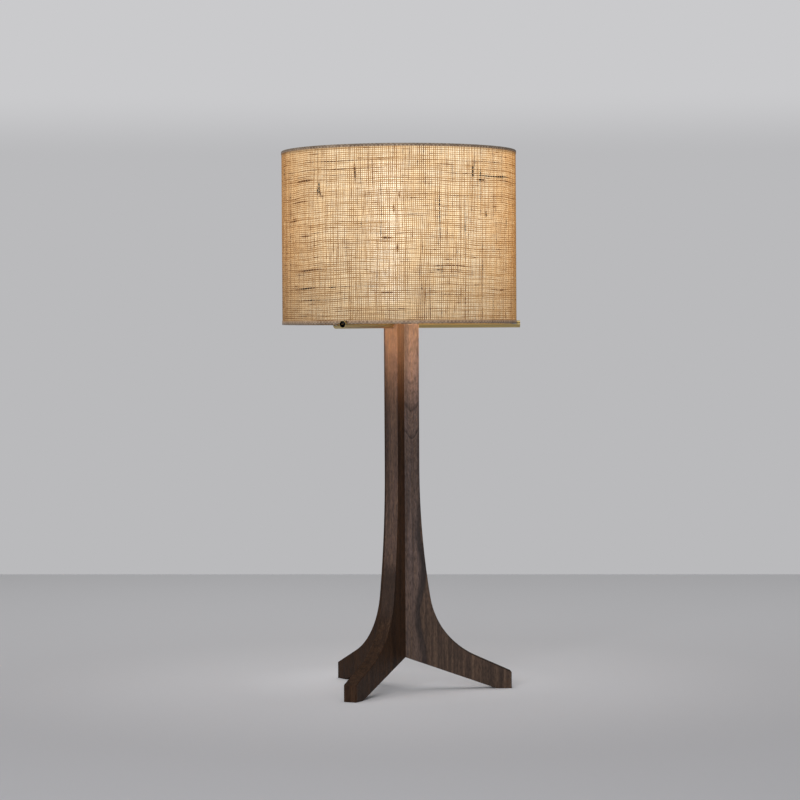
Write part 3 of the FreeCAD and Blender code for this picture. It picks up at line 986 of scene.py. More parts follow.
@dataclass(frozen=True)
class RimCloth(Finish):
    """Strip of the same burlap folded over the rim, where little light comes through.

    Above the three tubes, where it stands in their slots, it can carry a painted shadow and no glow.
    """

    rim: float = 0.0
    free_edge: float = 0.0
    straw: Colour = paint(178, 160, 140)
    tan: Colour = paint(142, 124, 106)
    brown: Colour = paint(94, 78, 66)
    lit: Colour = paint(190, 140, 90)
    unlit_share: float = 0.0
    slot_shadow_share: float = 0.0
    slot_shadow_colour: Colour = paint(16, 12, 9)
    slot_shadow_edge: Range = (0.0036, 0.0044)
    tubes: int = 3
    fibre_share: float = 0.5
    strength: float = 0.26

    def dress(self, board: NodeBoard) -> Fed:
        """Draws crossing yarns in brown and straw, a little lit at the strip's free edge, with a painted
        shadow in the tubes' slots.
        """
        flat = DrumUnwrapped().use(board, {"Place": board.place()})["Place"]
        arc, height, _ = flat.parts()
        fibre = YarnFibre().use(board, {"Place": flat})
        tone = yarn_tone(board, fibre, self.fibre_share, self.fibre_share)
        body = tone.ramp((0.05, 0.5, 0.95), (self.brown, self.tan, self.straw))
        # Painted shadow where the strip stands in the three tubes' slots; its glow is taken away there.
        apart = DRUM_RADIUS * FULL_TURN / self.tubes
        beside = board.maths("PINGPONG", arc + apart / 4, apart / 2)
        slot_shadowed = beside.remap(self.slot_shadow_edge, FALLING) * self.slot_shadow_share
        start = self.rim + self.unlit_share * (self.free_edge - self.rim)
        passed = height.remap((start, self.free_edge)) * (1.0 - slot_shadowed)
        return {
            "Base Color": board.mixed(slot_shadowed, body, self.slot_shadow_colour),
            "Emission Color": board.mixed(1.0, self.lit, passed, "MULTIPLY"),
            "Emission Strength": self.strength,
            "Roughness": fibre["Twist"].remap(NOISE_SPREAD, (0.66, 0.88)),
            "Normal": fibre["Strands"].bumped(distance=0.0001, strength=0.7),
            "Sheen Weight": 0.1,
        }


@dataclass(frozen=True)
class StudioFloor(Finish):
    """Plain pale floor, painted lighter towards the back to even out the lamps' fall-off, with a painted pool
    of light under the lamp and close to its feet.
    """

    near: Colour = paint(204, 204, 208)
    far: Colour = paint(240, 240, 243)
    depths: Range = (-0.8, 1.9)
    light_pool_reach: Range = (0.05, 0.65)
    light_pool_share: float = 1.26
    foot_light_place: Triple = (0.0, 0.06, 0.0)
    foot_light_reach: Range = (0.08, 0.26)
    foot_light_share: float = 1.12

    def dress(self, board: NodeBoard) -> Fed:
        """Draws a nearly even matt floor with painted light."""
        place = board.place()
        # Painted pool of light under the lamp.
        light_pool = board.vectors("LENGTH", place).remap(self.light_pool_reach, (self.light_pool_share, 1.0))
        # A second painted pool of light, close to the lamp's feet.
        beside = board.vectors("DISTANCE", place, self.foot_light_place)
        foot_light = beside.remap(self.foot_light_reach, (self.foot_light_share, 1.0))
        # Painted lighter towards the back.
        ground = board.mixed(place.parts()[1].remap(self.depths), self.near, self.far)
        return {"Base Color": ground.tinted(light_pool * foot_light), "Roughness": 0.9, "Specular IOR Level": 0.1}


def all_of(shape: bmesh.types.BMesh) -> list[Any]:
    """All points, edges and faces of a shape."""
    return shape.verts[:] + shape.edges[:] + shape.faces[:]


def spin(shape: bmesh.types.BMesh, turn: float, steps: int, **options: Any) -> None:
    """Spins a whole shape about the lamp's axis.

    Args:
        shape: The shape.
        turn: How far, in radians.
        steps: Number of steps.
        options: Further settings of the spin.
    """
    whole = all_of(shape)
    bmesh.ops.spin(shape, geom=whole, cent=AXIS_POINT, axis=UPWARD, angle=turn, steps=steps, **options)


def lift_points(shape: bmesh.types.BMesh, parts: list[Any], height: float) -> None:
    """Moves the points among newly extruded parts straight up.

    Args:
        shape: The shape.
        parts: The extruded parts.
        height: How far they move.
    """
    risen = [part for part in parts if isinstance(part, bmesh.types.BMVert)]
    bmesh.ops.translate(shape, verts=risen, vec=(0.0, 0.0, height))


def face_outward(shape: bmesh.types.BMesh) -> None:
    """Turns all faces of a closed shape outward."""
    bmesh.ops.recalc_face_normals(shape, faces=shape.faces[:])


def add_object(name: str, data: bpy.types.ID) -> bpy.types.Object:
    """Adds an object to the scene.

    Args:
        name: Name of the object.
        data: Its mesh, light or camera.

    Returns:
        The object, at the origin.
    """
    made = bpy.data.objects.new(name, data)
    bpy.context.scene.collection.objects.link(made)
    return made


def mesh_piece(name: str, shape: bmesh.types.BMesh) -> bpy.types.Object:
    """Makes an object of a finished shape.

    Args:
        name: Name of the piece.
        shape: Its shape, which is freed.

    Returns:
        The object, at the origin.
    """
    mesh = bpy.data.meshes.new(name)
    shape.to_mesh(mesh)
    shape.free()
    mesh.shade_smooth()
    return add_object(name, mesh)


def rows_of(mesh: bpy.types.Mesh, name: str) -> np.ndarray:
    """A vector of each point of a mesh, such as its place, one row each."""
    flat = np.empty(len(mesh.vertices) * 3)
    mesh.vertices.foreach_get(name, flat)
    return flat.reshape(-1, 3)


def round_axis(points: np.ndarray) -> tuple[np.ndarray, np.ndarray]:
    """Bearings of points about the lamp's axis and their distances from it."""
    return np.arctan2(points[:, 1], points[:, 0]), np.hypot(points[:, 0], points[:, 1])


def move_points(mesh: bpy.types.Mesh, points: np.ndarray) -> None:
    """Puts a mesh's points at new places.

    Args:
        mesh: The mesh.
        points: One row for each point.
    """
    mesh.vertices.foreach_set("co", points.reshape(-1))
    mesh.update()


def keep_value(mesh: bpy.types.Mesh, name: str, values: np.ndarray) -> None:
    """Keeps a number for each point of a mesh.

    Args:
        mesh: The mesh.
        name: Name of the number.
        values: One number for each point, 0 to 1.
    """
    kept = mesh.attributes.new(name, "FLOAT", "POINT")
    kept.data.foreach_set("value", values.astype(np.float32))


def clad(piece: bpy.types.Object, body: Body, finish: Finish, node: str) -> bpy.types.Object:
    """Puts a new piece in the place of one of the model's own.

    Args:
        piece: The piece.
        body: Body that it rides on.
        finish: Finish of the piece.
        node: Node that it replaces.

    Returns:
        The piece.
    """
    material = finish.material()
    piece.data.materials.clear()
    piece.data.materials.append(material)
    material.cycles.emission_sampling = "NONE"
    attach(piece, body.value)
    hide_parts(node)
    log.info("%s: %d faces on %s", piece.name, len(piece.data.polygons), body.value)
    return piece


def dress_nodes(finish: Finish, *names: str) -> None:
    """Gives some of the model's own pieces their finish.

    Args:
        finish: The finish.
        names: Names of the nodes.
    """
    for name in names:
        for held in frame["nodes"][name].material_slots:
            held.link = "OBJECT"
            held.material = finish.material()
        log.info("%s: dressed in %s", name, finish.name)


@dataclass(frozen=True)
class Slub:
    """A thick dark stretch of one yarn.

    The bearing is degrees round the shade from the side that faces the camera.
    """

    bearing: float
    height: float
    length: float
    girth: float
    dark: float


@dataclass(frozen=True)
class Wave:
    """A slow bend of the cloth: its share, turns round the drum, turn from rim to rim and start."""

    share: float
    turns: float
    climb: float
    start: float

    def at(self, turn: np.ndarray, risen: np.ndarray) -> np.ndarray:
        """How far places on the cloth are bent.

        Args:
            turn: Their bearings.
            risen: Their shares of the cloth's height.

        Returns:
            One number for each place.
        """
        return self.share * np.sin(self.turns * turn + self.climb * risen + self.start)


@dataclass
class BurlapSkin:
    """Woven burlap round the shade: yarns up and round, over a thin haze of loose fibres.

    Changes along the yarns are pairs of a share and a reach in crossings.
    """

    warp_count: int = 372
    crossing_count: int = 88
    seat_radius: float = 0.15772
    bottom: float = 0.4957
    top: float = 0.7299
    yarn_width: float = 0.00112
    yarn_height: float = 0.00042
    wave_height: float = 0.00040
    haze_gap: float = 0.00002
    haze_thickness: float = 0.00008
    haze_cuts: int = 7
    wander: float = 0.00016
    wander_reach: float = 9.0
    bow: float = 0.0008
    lean: float = 0.0006
    front_azimuth: float = 266.9
    seed: int = 7
    group_count: int = 12
    slackness: float = 0.6
    bow_waves: tuple[Wave, ...] = (
        Wave(1.0, 3.0, 0.0, 0.7), Wave(0.9, 7.0, 5.1, 2.0), Wave(0.6, 16.0, -8.0, 4.0),
    )
    lean_waves: tuple[Wave, ...] = (Wave(1.0, 2.0, 9.0, 0.0), Wave(0.7, 9.0, 15.0, 1.0))
    full_changes: tuple[Pair, ...] = ((0.75, 14.0), (0.55, 3.0))
    tone_changes: tuple[Pair, ...] = ((0.8, 22.0), (0.45, 2.5))
    yarn_spread: float = 0.5
    spot_spread: float = 0.35
    fleck_share: float = 0.011
    fleck_strengths: Range = (0.4, 1.6)
    fleck_trail: Triple = (0.9, 0.65, 0.35)
    fleck_fullness: float = 1.2
    fleck_dark: float = 0.16
    girth_spread: float = 0.22
    girth_range: Range = (0.45, 1.7)
    fullest_crown: float = 1.25
    plain_dark: float = 0.30
    tone_dark: float = 0.09
    full_dark: float = 0.06
    odd_dark: float = 0.13
    thin_edge_light: float = 0.14
    shortest_slub: float = 0.6
    slubs: ClassVar[dict[Lay, tuple[Slub, ...]]] = {
        Lay.WARP: (
            Slub(-41.9, 0.6700, 0.010, 0.7, 0.80), Slub(-41.0, 0.6735, 0.017, 1.4, 1.10),
            Slub(-40.1, 0.6655, 0.007, 0.7, 0.80), Slub(-39.2, 0.6610, 0.006, 0.7, 0.65),
            Slub(37.7, 0.6945, 0.016, 1.1, 0.90), Slub(-21.5, 0.6912, 0.024, 1.1, 0.60),
            Slub(-28.0, 0.6020, 0.012, 0.8, 0.45), Slub(64.9, 0.6288, 0.014, 1.0, 0.60),
            Slub(46.8, 0.6403, 0.008, 1.5, 0.55), Slub(0.1, 0.6617, 0.008, 1.4, 0.60),
            Slub(-2.8, 0.6437, 0.010, 1.5, 0.55), Slub(-0.5, 0.5932, 0.011, 1.5, 0.50),
            Slub(-12.5, 0.6900, 0.050, 0.5, 0.35),
        ),
        Lay.WEFT: (
            Slub(-62.6, 0.6347, 0.023, 1.1, 0.52), Slub(-60.5, 0.6374, 0.013, 0.9, 0.46),
            Slub(-5.7, 0.6063, 0.016, 1.2, 0.65), Slub(54.9, 0.6884, 0.080, 0.6, 0.55),
            Slub(58.0, 0.6884, 0.016, 0.8, 0.30), Slub(43.5, 0.6832, 0.014, 1.3, 0.60),
            Slub(22.3, 0.7016, 0.026, 0.8, 0.55), Slub(-51.4, 0.6130, 0.022, 1.1, 0.60),
            Slub(-52.0, 0.6841, 0.036, 1.2, 0.55), Slub(-56.4, 0.6571, 0.040, 0.8, 0.50),
            Slub(27.3, 0.5700, 0.055, 0.8, 0.50), Slub(-52.5, 0.5433, 0.045, 0.8, 0.48),
            Slub(-5.8, 0.5351, 0.016, 1.0, 0.50), Slub(59.0, 0.5409, 0.010, 1.1, 0.50),
            Slub(23.6, 0.5790, 0.012, 0.9, 0.45), Slub(-48.0, 0.5680, 0.040, 0.5, 0.38),
        ),
    }

    @property
    def step(self) -> float:
        """Turn from one upright yarn to the next."""
        return FULL_TURN / self.warp_count

    @property
    def pitch(self) -> float:
        """Height from one level yarn to the next."""
        return (self.top - self.bottom) / self.crossing_count

    def section(self, shape: bmesh.types.BMesh, lay: Lay) -> list[bmesh.types.BMVert]:
        """Starts a yarn with its three-sided section.

        Args:
            shape: Shape that the section goes into.
            lay: Which way the yarn runs.

        Returns:
            The section's corners: one edge, the crown, the other edge.
        """
        half = self.yarn_width / 2
        corners = []
        for side, rise in ((-half, 0.0), (0.0, self.yarn_height), (half, 0.0)):
            spot = Vector((self.seat_radius + rise, 0.0, self.bottom))
            spot += Vector((0.0, side, 0.0)) if lay is Lay.WARP else Vector((0.0, 0.0, side + self.pitch))
            corners.append(shape.verts.new(spot))
        return corners

    def upright_yarns(self) -> bpy.types.Object:
        """All upright yarns as one piece with one point ring at each crossing."""
        shape = bmesh.new()
        foot = shape.faces.new(self.section(shape, Lay.WARP))
        raised = bmesh.ops.extrude_face_region(shape, geom=[foot])["geom"]
        lift_points(shape, raised, self.top - self.bottom)
        long_edges = [
            edge for edge in shape.edges if abs(edge.verts[0].co.z - edge.verts[1].co.z) > self.pitch
        ]
        bmesh.ops.subdivide_edges(shape, edges=long_edges, cuts=self.crossing_count - 1)
        face_outward(shape)
        copies = self.warp_count // self.group_count - 1
        spin(shape, self.step * copies, copies, use_duplicate=True)
        groups = self.group_count - 1
        spin(shape, FULL_TURN * groups / self.group_count, groups, use_duplicate=True)
        return mesh_piece("burlap_upright_yarns", shape)

    def level_yarns(self) -> bpy.types.Object:
        """All level yarns as one piece with one point ring at each crossing."""
        shape = bmesh.new()
        corners = self.section(shape, Lay.WEFT)
        for place, corner in enumerate(corners):
            shape.edges.new((corners[place - 1], corner))
        spin(shape, FULL_TURN, self.warp_count, use_merge=True)
        face_outward(shape)
        spin(shape, 0.0, self.crossing_count - 2, dvec=(0.0, 0.0, self.pitch), use_duplicate=True)
        return mesh_piece("burlap_level_yarns", shape)

    def uneven(self, chance: np.random.Generator, size: tuple[int, int], reach: float) -> np.ndarray:
        """Slow chance changes along yarns.

        Args:
            chance: Source of the random draws.
            size: Number of yarns, and of crossings of each.
            reach: Length of a change in crossings.

        Returns:
            One row for each yarn, with a spread of one.
        """
        rough = chance.standard_normal(size)
        waves = np.fft.rfftfreq(size[1])
        passed = np.exp(-2.0 * (math.pi * waves * reach / 2) ** 2)
        smooth = np.fft.irfft(np.fft.rfft(rough, axis=1) * passed, n=size[1], axis=1)
        return smooth / smooth.std()

    def changed(
        self, chance: np.random.Generator, size: tuple[int, int], changes: tuple[Pair, ...]
    ) -> np.ndarray:
        """Chance changes of several reaches along yarns, with a difference between whole yarns.

        Args:
            chance: Source of the random draws.
            size: Number of yarns, and of crossings of each.
            changes: Share and reach of each kind of change.

        Returns:
            One row for each yarn.
        """
        along = sum(share * self.uneven(chance, size, reach) for share, reach in changes)
        return along + self.yarn_spread * chance.standard_normal((size[0], 1))

    def slub_marks(self, lay: Lay, size: tuple[int, int]) -> tuple[np.ndarray, np.ndarray]:
        """Where the named slubs thicken and darken the yarns.

        Args:
            lay: Which way the yarns run.
            size: Number of yarns, and of crossings of each.

        Returns:
            Added girth and added darkness, one row for each yarn.
        """
        rows, columns = size
        girth, dark = np.zeros(size), np.zeros(size)
        for slub in self.slubs[lay]:
            warp = math.radians(self.front_azimuth + slub.bearing) % FULL_TURN / self.step
            weft = (slub.height - self.bottom) / self.pitch
            row, centre = (warp, weft) if lay is Lay.WARP else (weft, warp)
            spacing = self.pitch if lay is Lay.WARP else self.step * self.seat_radius
            half = slub.length / spacing / 2
            apart = (np.arange(columns) - centre + columns / 2) % columns - columns / 2
            swell = np.exp(-((apart / max(half, self.shortest_slub)) ** 4))
            girth[round(row) % rows] += slub.girth * swell
            dark[round(row) % rows] += slub.dark * swell
        return girth, dark

    def flecks(self, chance: np.random.Generator, size: tuple[int, int]) -> np.ndarray:
        """Short brown stretches scattered over the yarns.

        Args:
            chance: Source of the random draws.
            size: Number of yarns, and of crossings of each.

        Returns:
            Strength of the flecks, one row for each yarn.
        """
        starts = (chance.random(size) < self.fleck_share) * chance.uniform(*self.fleck_strengths, size)
        trail = starts.copy()
        for share in self.fleck_trail:
            starts = np.roll(starts, 1, axis=1)
            trail = np.maximum(trail, share * starts)
        return trail

    def uneven_yarns(self, lay: Lay) -> tuple[np.ndarray, np.ndarray, np.ndarray]:
        """Girth, darkness and sideways drift of the yarns at their crossings.

        Args:
            lay: Which way the yarns run.

        Returns:
            The three, each with one row for each yarn.
        """
        levels = self.crossing_count + 1
        size = (self.warp_count, levels) if lay is Lay.WARP else (levels, self.warp_count)
        chance = np.random.default_rng(self.seed if lay is Lay.WARP else self.seed + 1)
        added_girth, added_dark = self.slub_marks(lay, size)
        flecks = self.flecks(chance, size)
        fullness = self.changed(chance, size, self.full_changes) + self.fleck_fullness * flecks
        tone = self.changed(chance, size, self.tone_changes)
        tone += self.spot_spread * chance.standard_normal(size)
        drift = self.wander * self.uneven(chance, size, self.wander_reach)
        girth = np.clip(1.0 + self.girth_spread * fullness, *self.girth_range) + added_girth
        dark = self.plain_dark + self.tone_dark * tone + self.full_dark * fullness
        dark += self.odd_dark * np.clip(tone - 1.0, 0.0, None) + self.fleck_dark * flecks + added_dark
        return girth, dark, drift

    def drape(self, turn: np.ndarray, height: np.ndarray) -> tuple[np.ndarray, np.ndarray]:
        """Slow bends of the whole cloth, none at its rims.

        Args:
            turn: Bearings of points of the cloth.
            height: Their heights.

        Returns:
            How far the cloth is shifted round the drum and upward.
        """
        risen = np.clip((height - self.bottom) / (self.top - self.bottom), 0.0, 1.0)
        loose = np.sin(math.pi * risen) ** self.slackness
        sideways = sum(wave.at(turn, risen) for wave in self.lean_waves)
        upward = sum(wave.at(turn, risen) for wave in self.bow_waves)
        return self.lean * loose * sideways, self.bow * loose * upward

    def weave(self, piece: bpy.types.Object, lay: Lay) -> None:
        """Passes the yarns over and under each other and makes them uneven.

        Args:
            piece: The yarns, still straight and even.
            lay: Which way they run.
        """
        points = rows_of(piece.data, "co")
        turn, radius = round_axis(points)
        warp = np.rint(turn / self.step).astype(int)
        weft = np.rint((points[:, 2] - self.bottom) / self.pitch).astype(int)
        crown = radius > self.seat_radius + self.yarn_height / 2
        upright = lay is Lay.WARP
        level_shift = points[:, 2] - self.bottom - weft * self.pitch
        side = (turn - warp * self.step) * self.seat_radius if upright else level_shift
        row, column = (warp % self.warp_count, weft) if upright else (weft, warp % self.warp_count)
        girth, dark, drift = (table[row, column] for table in self.uneven_yarns(lay))
        over = ((warp + weft) % 2 == 0) == upright
        side = side * girth + drift
        fuller = np.sqrt(np.minimum(girth, self.fullest_crown))
        lifted = np.where(over, self.wave_height, 0.0) + np.where(crown, self.yarn_height * fuller, 0.0)
        new_radius = self.seat_radius + lifted
        even_turn = warp * self.step + (side / self.seat_radius if upright else 0.0)
        even_height = points[:, 2] if upright else self.bottom + weft * self.pitch + side
        sideways, upward = self.drape(warp * self.step, self.bottom + weft * self.pitch)
        new_turn = even_turn + sideways / self.seat_radius
        spots = (new_radius * np.cos(new_turn), new_radius * np.sin(new_turn), even_height + upward)
        move_points(piece.data, np.stack(spots, axis=1))
        # Painted light: the yarns' thin edges take a lighter tone than their crowns, as more of the bulb's
        # light passes there.
        keep_value(piece.data, "tone", np.clip(dark - np.where(crown, 0.0, self.thin_edge_light), 0.0, 1.0))
        keep_value(piece.data, "crossing", (column % 2).astype(float))

    def haze(self) -> bpy.types.Object:
        """Thin closed cylinder behind the yarns."""
        shape = bmesh.new()
        bmesh.ops.create_circle(
            shape, cap_ends=False, radius=self.seat_radius - self.haze_gap, segments=self.warp_count,
            matrix=Matrix.Translation((0.0, 0.0, self.bottom)),
        )
        foot_edges = shape.edges[:]
        raised = bmesh.ops.extrude_edge_only(shape, edges=foot_edges)["geom"]
        lift_points(shape, raised, self.top - self.bottom)
        rungs = [edge for edge in shape.edges if edge not in raised and edge not in foot_edges]
        bmesh.ops.subdivide_edges(shape, edges=rungs, cuts=self.haze_cuts)
        face_outward(shape)
        skin = shape.faces[:]
        middle = skin[0].calc_center_median()
        if skin[0].normal.dot(Vector((middle.x, middle.y, 0.0))) < 0:
            bmesh.ops.reverse_faces(shape, faces=skin)
        bmesh.ops.solidify(shape, geom=skin, thickness=self.haze_thickness)
        face_outward(shape)
        return mesh_piece("burlap_haze", shape)


@dataclass
class RimTape:
    """Strip of burlap folded over one rim of the shade, round the rim's wire."""

    name: str
    rim: float
    into: float
    leg: float
    seed: int
    outer_radius: float = 0.15892
    inner_radius: float = 0.15364
    thickness: float = 0.00036
    fold: float = 0.0011
    fold_steps: int = 4
    leg_cuts: int = 3
    yarn_count: int = 372
    steps_per_yarn: int = 3
    sector_count: int = 12
    relief: float = 0.00007
    unevenness: float = 0.35
    plain_tone: float = 0.5
    crossing_tone: float = 0.42
    uneven_tone: float = 0.12

    def piece(self) -> bpy.types.Object:
        """The folded strip as one closed ring."""
        end = self.rim + self.into * self.leg
        under = self.rim + self.into * self.thickness
        outline = [
            (self.outer_radius, end), (self.outer_radius, self.rim),
            (self.inner_radius, self.rim), (self.inner_radius, end),
            (self.inner_radius + self.thickness, end), (self.inner_radius + self.thickness, under),
            (self.outer_radius - self.thickness, under), (self.outer_radius - self.thickness, end),
        ]
        shape = bmesh.new()
        corners = [shape.verts.new((radius, 0.0, height)) for radius, height in outline]
        for place, corner in enumerate(corners):
            shape.edges.new((corners[place - 1], corner))
        folds = [corners[place] for place in (1, 2, 5, 6)]
        bmesh.ops.bevel(
            shape, geom=folds, offset=self.fold, segments=self.fold_steps, profile=0.5, affect="VERTICES",
            material=-1,
        )
        legs = [side for side in shape.edges if abs(side.verts[0].co.z - side.verts[1].co.z) > self.fold]
        bmesh.ops.subdivide_edges(shape, edges=legs, cuts=self.leg_cuts)
        steps = self.yarn_count * self.steps_per_yarn // self.sector_count
        spin(shape, FULL_TURN / self.sector_count, steps)
        sectors = self.sector_count - 1
        spin(shape, FULL_TURN * sectors / self.sector_count, sectors, use_duplicate=True)
        bmesh.ops.remove_doubles(shape, verts=shape.verts[:], dist=self.relief / 10)
        face_outward(shape)
        made = mesh_piece(self.name, shape)
        self.weave(made.data)
        return made

    def weave(self, mesh: bpy.types.Mesh) -> None:
        """Raises the crossing yarns of the strip and keeps their tone.

        Args:
            mesh: The smooth strip.
        """
        points = rows_of(mesh, "co")
        turn, radius = round_axis(points)
        pitch = FULL_TURN * self.outer_radius / self.yarn_count
        lane = np.cos(turn * self.yarn_count / 2)
        path = np.cos(math.pi * (points[:, 2] - self.rim + radius - self.outer_radius) / pitch)
        crossing = lane * path
        column = (np.rint(turn / FULL_TURN * self.yarn_count).astype(int)) % self.yarn_count
        uneven = np.random.default_rng(self.seed).standard_normal(self.yarn_count)[column]
        height = self.relief * (crossing + self.unevenness * uneven)
        tone = self.plain_tone + self.crossing_tone * crossing + self.uneven_tone * uneven
        move_points(mesh, points + rows_of(mesh, "normal") * height[:, None])
        keep_value(mesh, "tone", np.clip(tone, 0.0, 1.0))


class Shade:
    """The drum shade: burlap skin and rim tapes over the lining and its two wires."""

    def rim_tapes(self) -> list[bpy.types.Object]:
        """The folded strips over the lower and the upper rim."""
        lower = {"slot_shadow_share": 1.0, "straw": paint(171, 152, 131), "tan": paint(135, 117, 99)}
        upper = {"unlit_share": 0.28, "straw": paint(168, 151, 132), "tan": paint(134, 117, 100)}
        strips = []
        for side, into, leg, seed, looks in (
            ("bottom", 1.0, 0.0046, 31, lower),
            ("top", -1.0, 0.0039, 37, upper),
        ):
            node = f"shade_{side}_trim"
            low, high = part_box(node)
            rim, free_edge = (low[2], high[2]) if into > 0 else (high[2], low[2])
            tape = RimTape(f"rim_tape_{side}", rim=rim, into=into, leg=leg, seed=seed)
            cloth = RimCloth(f"rim tape {side}", rim=rim, free_edge=free_edge, **looks)
            strips.append(clad(tape.piece(), Body.SHADE, cloth, node))
        return strips

    def build(self) -> None:
        """Makes the cloth pieces and dresses what holds them."""
        low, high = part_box("shade_fabric")
        skin = BurlapSkin(bottom=low[2], top=high[2])
        upright, level, haze = skin.upright_yarns(), skin.level_yarns(), skin.haze()
        skin.weave(upright, Lay.WARP)
        skin.weave(level, Lay.WEFT)
        for cloth, finish in (
            (upright, BurlapYarn("burlap warp yarn", lay=Lay.WARP)),
            (level, BurlapYarn("burlap weft yarn", lay=Lay.WEFT)),
            (haze, BurlapGround("burlap haze")),
        ):
            clad(cloth, Body.SHADE, finish, "shade_fabric")
        strips = self.rim_tapes()
        dress_nodes(ShadeLining("shade lining"), "shade_liner")
        wire = Metal("coated rim wire", paint(214, 212, 206), paint(178, 176, 170), (0.35, 0.5))
        dress_nodes(wire, "shade_bottom_wire", "shade_top_wire")


class Stand:
    """Three walnut fins, their loose tongues, the brass tubes and what clamps the centre."""

    def boards(self) -> None:
        """Dresses the three fins and the tongues between them."""
        right = Walnut(
            "walnut right", azimuth=0.0, seed=1.7, painted_top_side_tint=(0.94, 0.96, 0.99, 1.0),
            painted_side_fade=(0.36, 0.39),
        )
        rear_left = Walnut(
            "walnut rear left", azimuth=120.0, seed=5.3, heart=0.031, vein=0.013, light=paint(74, 50, 33),
            middle=paint(50, 33, 20), heartwood=paint(52, 35, 22), arc_share=0.0, gloss_level=0.1,
        )
        front_left = Walnut(
            "walnut front left", azimuth=240.0, seed=9.1, heart=0.031, vein=0.042, light=paint(104, 81, 65),
            middle=paint(63, 45, 33), heartwood=paint(82, 64, 57), vein_colour=paint(58, 42, 33),
            painted_side_tint=(0.66, 0.53, 0.36, 1.0), painted_top_side_tint=(1.01, 0.955, 0.83, 1.0),
            arc_share=0.0, end_share=0.15,
        )
        tongues = Walnut(
            "walnut tongues", seed=3.1, light=paint(150, 118, 84), middle=paint(122, 92, 64),
            dark=paint(92, 68, 48),
        )
        for finish, node in (
            (right, "fin_right"), (rear_left, "fin_rear_left"), (front_left, "fin_front_left"),
            (tongues, "fin_splines"),
        ):
            dress_nodes(finish, node)

    def build(self) -> None:
        """Dresses the stand's own pieces."""
        self.boards()
        for node, azimuth in (("rod_right", 0.0), ("rod_rear_left", 120.0), ("rod_front_left", 240.0)):
            dress_nodes(TubeBrass("satin brass " + node.replace("_", " "), azimuth=azimuth), node)
        zinc = Metal("zinc plated steel", paint(190, 192, 196), paint(140, 142, 148), (0.28, 0.48))
        dress_nodes(zinc, "centre_pipe", "bottom_washer", "bottom_nut", "top_nut", "cap_set_screw")
        dress_nodes(Moulded("bushing plastic", paint(26, 25, 25), paint(38, 37, 36)), "cord_bushing")


class LampHolder:
    """The holder with its switch and turn key."""

    def build(self) -> None:
        """Dresses the holder's own pieces."""
        holder = Metal("lampholder brass", paint(206, 178, 118), paint(168, 138, 84), (0.2, 0.34), grain=1.8)
        contact = Metal("contact brass", paint(214, 190, 122), paint(170, 138, 76), (0.22, 0.36), grain=2.5)
        sleeve = Moulded(
            "insulating fibre", paint(60, 50, 42), paint(84, 70, 58), (0.6, 0.75), relief_height=0.00008,
        )
        dress_nodes(holder, "check_ring", "socket_cap", "socket_shell")
        dress_nodes(contact, "terminal_screws", "screw_shell", "centre_contact")
        dress_nodes(sleeve, "socket_sleeve")
        dress_nodes(Moulded("moulded block", paint(38, 30, 26), paint(52, 42, 36), coat=0.3), "switch_block")
        dress_nodes(Metal("key steel", paint(176, 176, 178), paint(128, 128, 132), grain=2.0), "key_shaft")
        dress_nodes(Moulded("knob plastic", paint(24, 22, 21), paint(36, 33, 31), coat=0.4), "key_knob")


